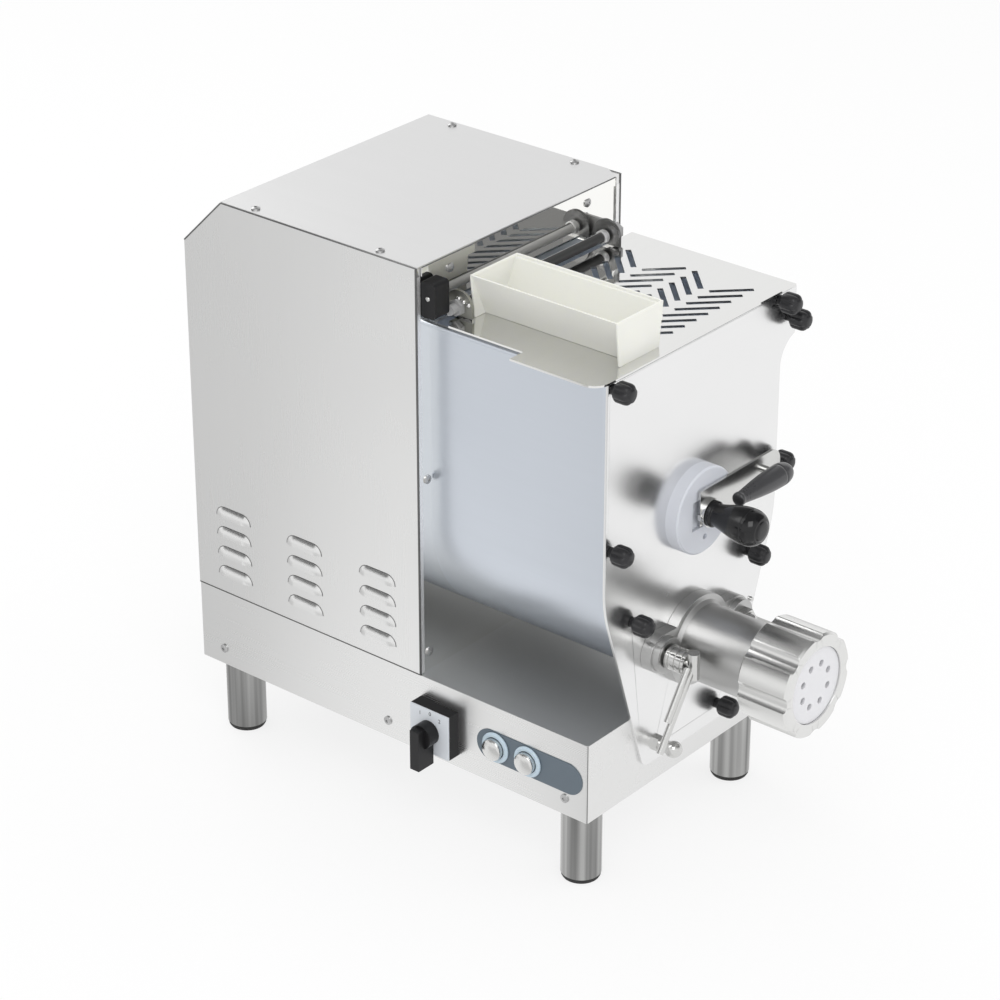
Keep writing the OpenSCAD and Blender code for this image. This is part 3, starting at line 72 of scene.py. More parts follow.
class Value:
    """A shader socket that takes part in arithmetic like a number."""

    def __init__(self, graph, socket):
        self.graph = graph
        self.socket = socket

    def _math(self, operation, first, second=0.0):
        return self.graph.add(
            "ShaderNodeMath", {"operation": operation}, {0: first, 1: second}
        )

    def __add__(self, other):
        return self._math("ADD", self, other)

    def __radd__(self, other):
        return self._math("ADD", other, self)

    def __sub__(self, other):
        return self._math("SUBTRACT", self, other)

    def __rsub__(self, other):
        return self._math("SUBTRACT", other, self)

    def __mul__(self, other):
        return self._math("MULTIPLY", self, other)

    def __rmul__(self, other):
        return self._math("MULTIPLY", other, self)

    def __truediv__(self, other):
        return self._math("DIVIDE", self, other)

    def above(self, limit):
        """1 where the value is larger than the limit, and 0 elsewhere."""
        return self._math("GREATER_THAN", self, limit)

    def size(self):
        """The value without its sign."""
        return self._math("ABSOLUTE", self)

    def up_to(self, other):
        """The smaller of the two."""
        return self._math("MINIMUM", self, other)

    def at_least(self, other):
        """The larger of the two."""
        return self._math("MAXIMUM", self, other)

    def held(self):
        """The value kept between 0 and 1."""
        return self.up_to(1.0).at_least(0.0)


class Graph:
    """A node tree that is built from expressions."""

    def __init__(self, owner):
        owner.use_nodes = True
        self.tree = owner.node_tree
        self.tree.nodes.clear()

    def add(self, kind, settings=None, inputs=None, out=0):
        """Adds a node, sets its settings first, and then its sockets by number or name."""
        node = self.tree.nodes.new(kind)
        for key, value in (settings or {}).items():
            setattr(node, key, value)
        for key, value in (inputs or {}).items():
            self.join(node.inputs[key], value)
        return Value(self, node.outputs[out])

    def join(self, socket, value):
        """Links a socket to another value, or sets it to a number or a colour."""
        if isinstance(value, Value):
            self.tree.links.new(value.socket, socket)
        elif socket.type == "RGBA" and len(value) == 3:
            socket.default_value = (*value, 1.0)
        else:
            socket.default_value = value

    def part(self, vector, axis):
        """One component of a vector."""
        return self.add("ShaderNodeSeparateXYZ", None, {0: vector}, out=axis)

    def blend(self, share, first, second):
        """The colour between two colours at a share from 0 to 1.

        The node's colours are its sockets 6 and 7, and its colour result is output 2.
        """
        node = self.tree.nodes.new("ShaderNodeMix")
        node.data_type = "RGBA"
        self.join(node.inputs["Factor"], share)
        self.join(node.inputs[6], first)
        self.join(node.inputs[7], second)
        return Value(self, node.outputs[2])

    def rays(self, *kinds):
        """1 for a ray of one of these kinds, and 0 for every other."""
        path = self.tree.nodes.new("ShaderNodeLightPath")
        found = Value(self, path.outputs["Is %s Ray" % kinds[0]])
        for kind in kinds[1:]:
            found = found.at_least(Value(self, path.outputs["Is %s Ray" % kind]))
        return found

    def end(self, kind, surface):
        """Adds the tree's output node and joins a shader to it."""
        self.join(self.tree.nodes.new(kind).inputs["Surface"], surface)


class Finish(Graph):
    """One finish: a shader with its constants on its own sockets, and nodes that vary it."""

    def __init__(self, name, **constants):
        self.material = bpy.data.materials.new(name)
        super().__init__(self.material)
        self.shader = self.tree.nodes.new("ShaderNodeBsdfPrincipled")
        self.end("ShaderNodeOutputMaterial", Value(self, self.shader.outputs[0]))
        for key, value in constants.items():
            self.set(key.replace("_", " ").title().replace("Ior", "IOR"), value)
        self.spot = self.add("ShaderNodeTexCoord", out="Object")

    def set(self, name, value):
        """Gives one of the shader's sockets a constant or a varying value."""
        self.join(self.shader.inputs[name], value)

    def stretched(self, scale, turn=(0, 0, 0)):
        """The surface point, turned and then stretched by a scale for each axis."""
        turned = self.add(
            "ShaderNodeMapping", None, {"Vector": self.spot, "Rotation": turn}
        )
        return self.add("ShaderNodeMapping", None, {"Vector": turned, "Scale": scale})

    def noise(self, scale, detail=2.0, where=None, rough=0.5):
        """Soft noise of about 0.5 on average, on the surface point or a stretched one."""
        inputs = {"Vector": where or self.spot, "Scale": scale, "Detail": detail}
        return self.add("ShaderNodeTexNoise", None, {**inputs, "Roughness": rough})

    def bump(self, height, strength, depth):
        """Tilts the shading by a height that varies; the depth is in metres."""
        inputs = {"Height": height, "Strength": strength, "Distance": depth}
        self.set("Normal", self.add("ShaderNodeBump", None, inputs, out="Normal"))


def shade(colour, factor):
    """A colour made darker or lighter, up to white."""
    return tuple(min(1.0, c * factor) for c in colour)


def along(grain, length, width):
    """The scale of a streak for each axis: one along the grain, and another across it."""
    return tuple(length if axis == grain else width for axis in "xyz")


def brushed(name, colour, rough, grain, fine=0.05, smudge=0.05, bump=0.03, wide=0.03, over=()):
    """Brushed sheet: long streaks along one axis, and wide faint smudges.

    The hairs are noise on the point stretched 150 times along the grain, and the bands 45
    times; together they move the roughness by fine and the tint by wide, and smudges move
    the roughness softly. Where a point lies past all of a set of limits, {axis: place},
    another colour and roughness take over; on the deck, the cover's slope and the lid's
    right end that colour is painted shade.
    """
    f = Finish(name, metallic=1.0)
    hair = f.noise(1.0, 3.0, f.stretched(along(grain, 6, 900)), 0.6)
    band = f.noise(1.0, 2.0, f.stretched(along(grain, 2, 90)), 0.5)
    cloud = f.noise(7.0, 3.0)
    streak = hair * 0.55 + band * 0.45
    tint = f.blend(streak, shade(colour, 1 - wide), shade(colour, 1 + wide))
    for limits, other, other_rough in over:
        past = 1.0
        for axis, limit in limits.items():
            past = f.part(f.spot, axis).above(limit) * past
        # the colour past the limits: painted shade on the deck, the cover's slope and the lid's
        # right end
        tint_and_painted_shade = f.blend(cloud, shade(other, 0.96), shade(other, 1.04))
        tint, rough = f.blend(past, tint, tint_and_painted_shade), past * (other_rough - rough) + rough
    f.set("Base Color", tint)
    f.set("Roughness", rough + (streak - 0.5) * (2 * fine) + (cloud - 0.5) * (2 * smudge))
    f.bump(hair, bump, 0.0004)
    return f.material


def tube(name, colour, rough, painted_band_spread):
    """Drawn tube: light and dark upright streaks a few millimetres wide, painted reflection
    bands strong enough to read as facets.

    The wide noise is steepened 2.6 times about its middle and held between 0 and 1.
    """
    f = Finish(name, metallic=1.0)
    wide = f.noise(1.0, 1.0, f.stretched((150, 150, 1.5)), 0.4)
    fine = f.noise(1.0, 2.0, f.stretched((900, 900, 6)), 0.5)
    # painted reflection: light and dark upright bands in the base colour
    share = ((wide - 0.5) * 2.6 + 0.5).held() * 0.8 + fine * 0.2
    dark, light = shade(colour, 1 - painted_band_spread), shade(colour, 1 + painted_band_spread * 0.7)
    f.set("Base Color", f.blend(share, dark, light))
    f.set("Roughness", rough + (fine - 0.5) * 0.08)
    return f.material


def polished(name, colour, rough, smudge, front=None):
    """Polished or cast steel: an even roughness, lifted where it was wiped.

    In front of a depth y, if one is given with a colour, the steel has that colour: a painted
    highlight, for a face that mirrors the bright floor in front of it.
    """
    f = Finish(name, metallic=1.0)
    cloud = f.noise(11.0, 4.0)
    wipe = f.noise(1.0, 3.0, f.stretched((14, 60, 60), (0.3, 0.5, 0.9)))
    tint = f.blend(cloud, shade(colour, 0.97), shade(colour, 1.03))
    # painted highlight: a lighter colour on the face in front of the depth
    if front:
        depth, other = front
        tint = f.blend(f.part(f.spot, 1).above(place(0, depth, 0)[1]), other, tint)
    f.set("Base Color", tint)
    f.set("Roughness", rough + cloud * wipe * (2 * smudge))
    return f.material


def hinge_steel(name):
    """The hinge's rod, in painted shade: near black in front, and grey behind so that its image
    in the mirror wall matches the wall's grey; pale at its left end and nuts.

    A nut is what lies over 5.4 mm from the rod's axis, the front ends 1 mm behind it, and
    the left end is what lies past x = -104 mm.
    """
    painted_shade_front, painted_grey_back, pale_level = 0.035, 0.485, 0.34
    f = Finish(name, metallic=0.0)
    axis = place(0, ROD_Y, ROD_Z)
    off, up = f.part(f.spot, 1) - axis[1], f.part(f.spot, 2) - axis[2]
    nut = (off * off + up * up).above((5.4 * MM) ** 2)
    left = 1.0 - f.part(f.spot, 0).above(place(-104, 0, 0)[0])
    # painted shade: near black on the rod's front, grey on its back
    rod = off.above(1.0 * MM) * (painted_grey_back - painted_shade_front) + painted_shade_front
    pale = nut.at_least(left)
    f.set("Base Color", pale * pale_level + (1.0 - pale) * rod)
    f.set("Roughness", 0.35)
    return f.material


def machined(name, colour, rough, height, pitch=0.7):
    """Turned metal: rings of tool marks, a pitch apart, round an axis along y at a height.

    The rings are noise on the distance from the axis, divided by the pitch; both lengths
    are in millimetres.
    """
    f = Finish(name, metallic=1.0)
    axis = tuple(float(c) for c in place(0, 0, height))
    flat = f.add("ShaderNodeVectorMath", {"operation": "SUBTRACT"}, {0: f.spot, 1: axis})
    flat = f.add("ShaderNodeVectorMath", {"operation": "MULTIPLY"}, {0: flat, 1: (1, 0, 1)})
    radius = f.add("ShaderNodeVectorMath", {"operation": "LENGTH"}, {0: flat}, "Value")
    steps = f.add("ShaderNodeCombineXYZ", None, {0: radius / (pitch * MM), 1: 0.0, 2: 0.0})
    rings = f.noise(1.0, 2.0, steps)
    cloud = f.noise(20.0, 3.0)
    f.set("Base Color", f.blend(cloud, shade(colour, 0.94), shade(colour, 1.04)))
    f.set("Roughness", rough + (rings - 0.5) * 0.16 + (cloud - 0.5) * 0.1)
    f.bump(rings, 0.08, 0.0003)
    return f.material


def moulded(
    name, colour, rough, speck=0.03, grain=420.0, bump=0.05, coat=0.0, sub=0.0, shine=0.5
):
    """Moulded plastic: a fine skin texture, and faint clouds in its tint and roughness."""
    f = Finish(name, coat_weight=coat, coat_roughness=0.05, subsurface_weight=sub,
               specular_ior_level=shine)
    f.set("Subsurface Radius", (0.004, 0.004, 0.003))
    skin = f.noise(grain, 2.0)
    cloud = f.noise(16.0, 3.0)
    f.set("Base Color", f.blend(cloud, shade(colour, 1 - speck), shade(colour, 1 + speck)))
    f.set("Roughness", rough + (cloud - 0.5) * 0.12 + (skin - 0.5) * 0.05)
    f.bump(skin, bump, 0.0002)
    return f.material


def cast(name, colour, rough, metal=0.0, bump=0.35):
    """Cast and painted metal: a pebbled skin, lighter on its high spots."""
    f = Finish(name, metallic=metal)
    pebble = f.noise(260.0, 4.0, rough=0.6)
    cloud = f.noise(12.0, 3.0)
    share = pebble * 0.5 + cloud * 0.5
    f.set("Base Color", f.blend(share, shade(colour, 0.8), shade(colour, 1.2)))
    f.set("Roughness", rough + (pebble - 0.5) * 0.2)
    f.bump(pebble, bump, 0.0006)
    return f.material


# Limits past which a sheet takes another colour, by axis, in metres; past ON_DECK, ON_SLOPE
# and RIGHT_ON_LID that colour is painted shade.
ON_DECK = {2: (DECK - 0.3) * MM}
ON_SLOPE = {1: place(0, 449.6, 0)[1]}
ON_LID = {2: (LID + 2) * MM}
RIGHT_ON_LID = {**ON_LID, 0: place(100, 0, 0)[0]}
NUT_FACE_Y = -180.4

# The finishes, with their colours in linear light.
STEEL = (0.78, 0.78, 0.775)
FINISH = {
    "panel": brushed("panel_steel", STEEL, 0.28, "z", fine=0.03, bump=0.008, wide=0.012),
    # the deck's darker colour past ON_DECK is painted shade, of the trough over it
    "base": brushed("base_steel", STEEL, 0.28, "y", bump=0.012, wide=0.02,
                    over=[(ON_DECK, (0.58, 0.58, 0.57), 0.5)]),
    # the slope's darker colour past ON_SLOPE is painted shade
    "cover": brushed("cover_steel", (0.72, 0.72, 0.72), 0.30, "y", bump=0.01,
                     over=[(ON_SLOPE, (0.55, 0.55, 0.55), 0.3)]),
    "inside": brushed("inside_steel", (0.52, 0.52, 0.52), 0.34, "y"),
    "trough": brushed("trough_steel", (0.66, 0.70, 0.76), 0.34, "y", smudge=0.08),
    # past RIGHT_ON_LID the lid's right end is painted dark grey: painted shade, so that it and
    # its mirror image in the wall fade into one grey
    "lid": brushed("lid_steel", (0.78, 0.78, 0.77), 0.05, "x", fine=0.02, smudge=0.03, bump=0.0,
                   over=[(ON_LID, (0.42, 0.42, 0.385), 0.5),
                         (RIGHT_ON_LID, (0.22, 0.22, 0.22), 0.4)]),
    "wall": polished("wall_steel", (0.95, 0.945, 0.92), 0.02, 0.03),
    "hinge": hinge_steel("hinge_steel"),
    "screw": polished("screw_steel", (0.50, 0.50, 0.50), 0.3, 0.1),
    # near white: the painted highlight on the flanges' edges, and the hinge collar's pale steel
    "edge": polished("pale_steel_and_painted_highlight", (0.97, 0.97, 0.97), 0.5, 0.1),
    "plate": polished("plate_steel", (0.84, 0.84, 0.84), 0.20, 0.08),
    "bright": polished("bright_steel", (0.64, 0.64, 0.63), 0.18, 0.08),
    # dark grey beads: painted shade along pressed edges
    "crease": polished("crease_painted_shade", (0.20, 0.20, 0.20), 0.4, 0.1),
    # painted reflection bands, light and dark, on the legs
    "leg": tube("leg_steel", (0.38, 0.38, 0.375), 0.16, 0.45),
    "pad": moulded("foot_rubber", (0.02, 0.02, 0.02), 0.7, bump=0.2),
    "head": machined("head_steel", (0.50, 0.50, 0.495), 0.36, AUGER_Z),
    # the nut's front face is lighter: a painted highlight
    "nut": polished("nut_steel", (0.76, 0.76, 0.75), 0.25, 0.03,
                    front=(NUT_FACE_Y, (0.97, 0.97, 0.96))),
    "shaft": machined("shaft_steel", (0.62, 0.62, 0.62), 0.25, SHAFT_Z),
    "gear": machined("gear_steel", (0.38, 0.38, 0.39), 0.34, SHAFT_Z),
    "iron": cast("pulley_iron", (0.14, 0.14, 0.15), 0.45, metal=0.8),
    "case": cast("case_alloy", (0.50, 0.50, 0.51), 0.5, metal=0.7),
    "motor": cast("motor_paint", (0.035, 0.07, 0.12), 0.45),
    "fan": cast("fan_cover_paint", (0.03, 0.03, 0.035), 0.5, bump=0.15),
    "belt": moulded("belt_rubber", (0.012, 0.012, 0.012), 0.75, bump=0.3),
    "white": moulded("hopper_plastic", (0.80, 0.80, 0.75), 0.38, 0.02, sub=0.4),
    "disc": moulded("disc_plastic", (0.60, 0.62, 0.67), 0.42, 0.02, sub=0.05),
    "die": moulded("die_plastic", (0.72, 0.72, 0.74), 0.36, 0.02),
    "black": moulded("handle_plastic", (0.004, 0.004, 0.005), 0.16, 0.2, coat=0.3, shine=0.3),
    "knob": moulded("knob_plastic", (0.018, 0.018, 0.020), 0.36, 0.2, grain=900, bump=0.15,
                    shine=0.4),
    "dark": moulded("grip_plastic", (0.045, 0.045, 0.048), 0.30, 0.1, coat=0.2),
    "switch": moulded("switch_plastic", (0.010, 0.010, 0.011), 0.42, 0.2, grain=1100, bump=0.2,
                      shine=0.3),
    "face": moulded("switch_face", (0.66, 0.69, 0.73), 0.34, 0.02, bump=0.02),
    "label": moulded("label_film", (0.110, 0.142, 0.172), 0.42, 0.04, grain=1500, bump=0.06),
    "blue": moulded("button_rim", (0.52, 0.63, 0.71), 0.20, 0.03, sub=0.2),
    "grey": moulded("contactor_plastic", (0.10, 0.105, 0.11), 0.5, 0.05),
    "ink": moulded("dial_ink", (0.012, 0.012, 0.013), 0.5, 0.1, bump=0.0),
    # dark beads: painted shade in the gaps at the casing's seams
    "seam": moulded("seam_painted_shade", (0.10, 0.10, 0.10), 0.6, 0.1),
    "button": polished("button_steel", (0.70, 0.70, 0.69), 0.18, 0.06),
    "gland": moulded("gland_plastic", (0.02, 0.02, 0.021), 0.5, 0.1),
}

# The CAD nodes that wear each finish.
WEARS = {
    "base": "base_shell", "inside": "base_floor", "leg": "legs", "pad": "foot_pads",
    "panel": "left_panel right_panel rear_panel", "cover": "top_cover", "wall": "inner_wall",
    "screw": "panel_screws", "hinge": "lid_hinge",
    "bright": "mixer_paddles auger_flight plate_studs cap_nut lever_arm"
    " barrel_fixings clamp_head clamp_lever start_button stop_button",
    "gland": "cable_gland", "grey": "control_unit", "motor": "motor", "fan": "motor_fan_cover",
    "shaft": "motor_rotor counter_shaft mixer_shaft auger_shaft",
    "iron": "motor_pulley driven_pulley", "belt": "drive_belt",
    "gear": "counter_pinion mixer_gear auger_gear", "case": "gear_case",
    "white": "shaft_bearings hopper", "trough": "trough", "plate": "front_plate",
    "disc": "bearing_disc", "black": "axis_handle", "dark": "side_handle", "head": "barrel",
    "die": "die", "nut": "ring_nut", "lid": "lid",
    "switch": "safety_switch switch_body switch_knob", "face": "switch_plate",
    "label": "control_label",
    "knob": "knob_top_left knob_top_right knob_ear knob_mid_left knob_mid_right"
    " knob_low_left knob_low_right knob_foot_right",
}
FLAT = "rear_panel top_cover inner_wall".split()

# The bevel on each node with eased edges, in millimetres.
ROUNDED = {
    "base_shell": 0.8, "front_plate": 0.6, "hopper": 0.9, "die": 0.5, "ring_nut": 0.6,
    "barrel": 0.8, "bearing_disc": 0.6, "lever_arm": 0.4, "switch_body": 1.2,
    "switch_plate": 0.5, "switch_knob": 1.2, "safety_switch": 1.5, "control_unit": 1.0,
    "clamp_head": 0.5, "clamp_lever": 0.4, "legs": 0.4, "motor": 0.8,
}


def crisp(piece):
    """Splits a piece's shading at its sharp edges."""
    split = piece.modifiers.new("crisp edges", "EDGE_SPLIT")
    split.split_angle = CRISP_ANGLE
    return piece


def dress(node, finish):
    """A finish on a CAD node, with eased edges where they show and flats that stay flat."""
    solid = NODES[node]
    solid.data.materials.clear()
    solid.data.materials.append(FINISH[finish])
    for polygon in solid.data.polygons:
        polygon.use_smooth = node not in FLAT
    weld = solid.modifiers.new("join the faces", "WELD")
    weld.merge_threshold = 0.01 * MM
    if node in FLAT:
        return
    if node in ROUNDED:
        edge = solid.modifiers.new("ease the edges", "BEVEL")
        edge.width = ROUNDED[node] * MM
        edge.segments = 2
        edge.limit_method = "ANGLE"
        edge.angle_limit = EASED_ANGLE
        edge.use_clamp_overlap = True
        edge.harden_normals = False
    crisp(solid)
    level = solid.modifiers.new("keep flats flat", "WEIGHTED_NORMAL")
    level.mode, level.weight, level.keep_sharp = "FACE_AREA", 100, False


for worn_finish, worn_by in WEARS.items():
    for worn_node in worn_by.split():
        dress(worn_node, worn_finish)


# Surfaces


def surface(name, points, body, finish, slot):
    """A mesh on a grid of points, array (u, v, xyz), that is closed round in v.

    A first or last row on one spot is a pole: points closer than 0.002 mm are joined.
    """
    rows, cols = points.shape[:2]
    grid = np.meshgrid(np.arange(rows - 1), np.arange(cols), indexing="ij")
    uu, vv = (a.ravel() for a in grid)
    un, vn = uu + 1, (vv + 1) % cols
    quads = np.stack(
        [uu * cols + vv, un * cols + vv, un * cols + vn, uu * cols + vn], axis=1
    )
    mesh = bpy.data.meshes.new(name)
    mesh.from_pydata(points.reshape(-1, 3).tolist(), [], quads.tolist())
    tidy = bmesh.new()
    tidy.from_mesh(mesh)
    bmesh.ops.remove_doubles(tidy, verts=tidy.verts, dist=0.002 * MM)
    bmesh.ops.recalc_face_normals(tidy, faces=tidy.faces)
    tidy.to_mesh(mesh)
    tidy.free()
    mesh.polygons.foreach_set("use_smooth", np.ones(len(mesh.polygons), bool))
    mesh.materials.append(FINISH[finish])
    piece = bpy.data.objects.new(name, mesh)
    bpy.context.scene.collection.objects.link(piece)
    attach(piece, body)
    return piece


def directions(axis):
    """Two unit vectors across an axis, and the axis itself at unit length."""
    axis = np.array(axis, float)
    axis /= np.linalg.norm(axis)
    side = np.cross(axis, [0, 0, 1] if abs(axis[2]) < 0.9 else [1, 0, 0])
    side /= np.linalg.norm(side)
    return side, np.cross(axis, side), axis


def turned(name, profile, start, axis, body, finish, slot, steps=72, lobes=None):
    """A profile of (radius, height), in millimetres, carried round an axis from start.

    point(h, t) = start + axis h + r(h) w(h, t) (side cos t + up sin t), where w is 1, or
    what lobes(height, angle) gives for a piece with flutes round it.
    """
    side, up, axis = directions(axis)
    profile = np.array(profile, float)
    t = np.linspace(0, 2 * np.pi, steps, endpoint=False)
    r, h = profile[:, :1], profile[:, 1:]
    wave = 1.0 if lobes is None else lobes(h, t[None, :])
    ring = (r * wave * np.cos(t))[..., None] * side + (r * wave * np.sin(t))[..., None] * up
    points = start + (ring + h[..., None] * axis) * MM
    return surface(name, points, body, finish, slot)


def rounded_profile(corners, radius, steps=5):
    """A profile whose corners, but for its two ends, are eased by arcs.

    q(s) = (1 - s)^2 p + 2 s (1 - s) b + s^2 q at a corner b, where p and q lie one radius
    before and after it, but never past 0.45 of a side, so that arcs don't meet.
    """
    c = np.array(corners, float)
    out = [c[:1]]
    s = np.linspace(0, 1, steps)[:, None]
    for a, b, d in zip(c[:-2], c[1:-1], c[2:]):
        before, after = a - b, d - b
        la, lb = np.linalg.norm(before), np.linalg.norm(after)
        reach = min(radius, la * 0.45, lb * 0.45)
        p, q = b + before / la * reach, b + after / lb * reach
        out.append((1 - s) ** 2 * p + 2 * s * (1 - s) * b + s**2 * q)
    out.append(c[-1:])
    return np.vstack(out)


def bead(name, corners, radius, finish, slot, steps=8):
    """A thin round bead along straight runs between corners, in drawing millimetres.

    point(i, t) = p_i + R (side_i cos t + up_i sin t), where p_i has two points at each
    corner a little apart, side_i is the last side less its part along the run, and the
    radius is zero at both ends.
    """
    path = [np.array(corners[0], float)]
    for before, here, after in zip(corners[:-2], corners[1:-1], corners[2:]):
        before, here, after = (np.array(c, float) for c in (before, here, after))
        path += [here - (here - before) / np.linalg.norm(here - before) * radius,
                 here + (after - here) / np.linalg.norm(after - here) * radius]
    path.append(np.array(corners[-1], float))
    path = np.array(path)
    runs = np.gradient(path, axis=0)
    runs /= np.linalg.norm(runs, axis=1)[:, None]
    side = directions(runs[0])[0]
    t = np.linspace(0, 2 * np.pi, steps, endpoint=False)[:, None]
    rings = [np.repeat(path[:1], steps, axis=0)]
    for spot, run in zip(path, runs):
        side = side - run * side.dot(run)
        side /= np.linalg.norm(side)
        rings.append(spot + radius * (side * np.cos(t) + np.cross(run, side) * np.sin(t)))
    rings.append(np.repeat(path[-1:], steps, axis=0))
    points = np.array(rings) * MM + place(0, 0, 0)
    return surface(name, points, "machine", finish, slot)


def slab(name, outline, thick, spot_of, body, finish, slot):
    """A flat outline, (a, b) in millimetres, made solid between two heights.

    The grid's rows are the middle of one face, its outline, the outline of the other
    face and that face's middle; spot_of(a, b, height) gives the place of a point.
    """
    outline = np.array(outline, float)
    middle = np.repeat(outline.mean(axis=0)[None], len(outline), axis=0)
    rows = [(middle, thick[0]), (outline, thick[0]), (outline, thick[1]), (middle, thick[1])]
    points = np.array([[place(*spot_of(a, b, h)) for a, b in line] for line, h in rows])
    return crisp(surface(name, points, body, finish, slot))


# Camera and light

# The machine's middle and the trough's, in metres.
MIDDLE = (0, 0, 0.3)
TROUGH = (ORIGIN_X, -0.08)


def outward(azimuth, elevation):
    """The unit vector to a viewer: azimuth 0 stands in front, and 90 to the right."""
    a, e = math.radians(azimuth), math.radians(elevation)
    return np.array([math.sin(a) * math.cos(e), -math.cos(a) * math.cos(e), math.sin(e)])


def aimed(thing, where, heading):
    """Puts a camera or a lamp at a place and turns it to look along a heading."""
    bpy.context.scene.collection.objects.link(thing)
    thing.location = where
    thing.rotation_mode = "QUATERNION"
    thing.rotation_quaternion = heading.to_track_quat("-Z", "Y")


def make_camera(azimuth, elevation, middle, distance, lens):
    """The photograph's camera: it looks at a middle point along a direction solved from it."""
    back = Vector(outward(azimuth, elevation))
    data = bpy.data.cameras.new("camera")
    data.lens, data.sensor_width = lens, 36.0
    camera = bpy.data.objects.new("camera", data)
    aimed(camera, Vector(middle) + back * distance, -back)
    bpy.context.scene.camera = camera


def area_light(name, where, aim, size, power, mirrored=True):
    """A square lamp that the eye doesn't see; polished sheets mirror it unless told not to."""
    data = bpy.data.lights.new(name, "AREA")
    data.energy, data.shape, data.size = power, "SQUARE", size
    lamp = bpy.data.objects.new(name, data)
    aimed(lamp, where, Vector(aim) - Vector(where))
    lamp.visible_camera = False
    lamp.visible_glossy = mirrored


def make_world(level):
    """White for the eye; in reflections the sky greys towards its top, as in a light tent.

    sky = 1 - 0.62 (h - 0.48) / 0.40, held between 0.38 and 1, where h is the height of the
    direction's unit vector. What lights matt surfaces is white at the given level.
    """
    world = bpy.data.worlds.new("studio")
    bpy.context.scene.world = world
    g = Graph(world)
    height = g.part(g.add("ShaderNodeTexCoord", out="Generated"), 2)
    seen, mirrored = g.rays("Camera", "Transmission"), g.rays("Glossy")
    sky = 1.0 - ((height - 0.48) / 0.40).held() * 0.62
    strength = seen + mirrored * sky + (1.0 - seen - mirrored) * level
    glow = g.add("ShaderNodeBackground", None, {"Color": (1, 1, 1), "Strength": strength})
    g.end("ShaderNodeOutputWorld", glow)


def staged(name, corners, graph_of):
    """A flat stage piece with the material that graph_of makes in an empty graph."""
    mesh = bpy.data.meshes.new(name)
    mesh.from_pydata(corners, [], [(0, 1, 2, 3)])
    flat = bpy.data.objects.new(name, mesh)
    bpy.context.scene.collection.objects.link(flat)
    material = bpy.data.materials.new(name + "_finish")
    g = Graph(material)
    g.end("ShaderNodeOutputMaterial", graph_of(g))
    mesh.materials.append(material)
    return flat


def level_square(low, high, z):
    """The corners of a level rectangle between two corners, at a height z."""
    (x0, y0), (x1, y1) = low, high
    return [(x0, y0, z), (x1, y0, z), (x1, y1, z), (x0, y1, z)]


def make_floor(glow_share):
    """A white floor: partly glowing, for the eye and in mirrors, and matt for the rest."""

    def white(g):
        matt = g.add("ShaderNodeBsdfDiffuse", None, {"Color": (0.9, 0.9, 0.9)})
        glow = g.add("ShaderNodeEmission", None, {"Color": (1, 1, 1)})
        share = g.rays("Camera", "Glossy", "Transmission") * glow_share
        return g.add("ShaderNodeMixShader", None, {0: share, 1: matt, 2: glow})

    staged("floor", level_square((-30, -30), (30, 30), 0.0), white)


def only_mirrored(flat):
    """A card that shows in reflections alone, and casts no shadow."""
    flat.visible_camera = flat.visible_diffuse = flat.visible_transmission = False
    flat.visible_shadow = flat.visible_volume_scatter = False


def card(name, azimuth, elevation, far, size, level):
    """A grey card facing the machine, seen only in its polished sheets."""

    def grey(g):
        return g.add("ShaderNodeEmission", None, {"Color": (1, 1, 1), "Strength": level})

    across, up, out = directions(outward(azimuth, elevation))
    middle = np.array(MIDDLE) + out * far
    half_wide, half_high = across * size[0] / 2, up * size[1] / 2
    signs = ((-1, -1), (1, -1), (1, 1), (-1, 1))
    corners = [tuple(middle + s * half_wide + t * half_high) for s, t in signs]
    only_mirrored(staged(name, corners, grey))


def make_table_card():
    """A soft grey on the table beside the machine, so that its sides are shaded along y.

    level = 1 - 0.3 n ((s - 0.03) / 0.27)^2, no less than 0.7, where s = y + 0.83 (0.15 - |x|)
    is the depth along the machine's side that mirrors this point of the table, and n fades
    the grey in over the card's first 0.15 m.
    """
    half_width, slant, middle, reach = 0.15, 0.83, 0.03, 0.27
    front, fade, depth = -0.3, 0.15, 0.3

    def grey(g):
        spot = g.add("ShaderNodeTexCoord", out="Object")
        x, y = g.part(spot, 0), g.part(spot, 1)
        off = ((y + (half_width - x.size()) * slant) - middle) / reach
        near = ((y - front) / fade).held()
        level = 1.0 - (off * off).held() * near * depth
        return g.add("ShaderNodeEmission", None, {"Color": (1, 1, 1), "Strength": level})

    only_mirrored(staged("table_card", level_square((-2.5, front), (2.5, 2.5), 0.003), grey))


make_camera(-50.24, 27.34, middle=place(-7.0, 225.0, 293.9), distance=3.269, lens=120.67)
make_world(0.85)
make_floor(0.78)
make_table_card()
card("card_front_right", 50.2, 36.0, 3.0, (3.4, 2.6), 0.26)
card("card_back_left", -134.0, 34.0, 3.0, (2.2, 2.0), 0.12)
area_light("inside", (*TROUGH, 0.50), (*TROUGH, 0.3), 0.12, 0.2)
area_light("key", (-1.6, -1.4, 2.4), MIDDLE, 1.6, 22)
area_light("fill", (1.8, -2.0, 1.6), MIDDLE, 1.8, 12, mirrored=False)
area_light("back", (0.6, 2.2, 2.2), MIDDLE, 1.6, 14)
bpy.context.scene.view_settings.view_transform = "Standard"


# Handles, knobs and buttons


def swelling(neck, swell, power, foot, run, steps):
    """A handle's stem, as rows of (radius, height) in millimetres.

    r(s) = neck + swell sin(s pi/2)^power and h(s) = foot + run s, for s from 0 to 1.
    """
    s = np.linspace(0, 1, steps)
    return np.stack([neck + swell * np.sin(np.pi / 2 * s) ** power, foot + s * run], axis=1)


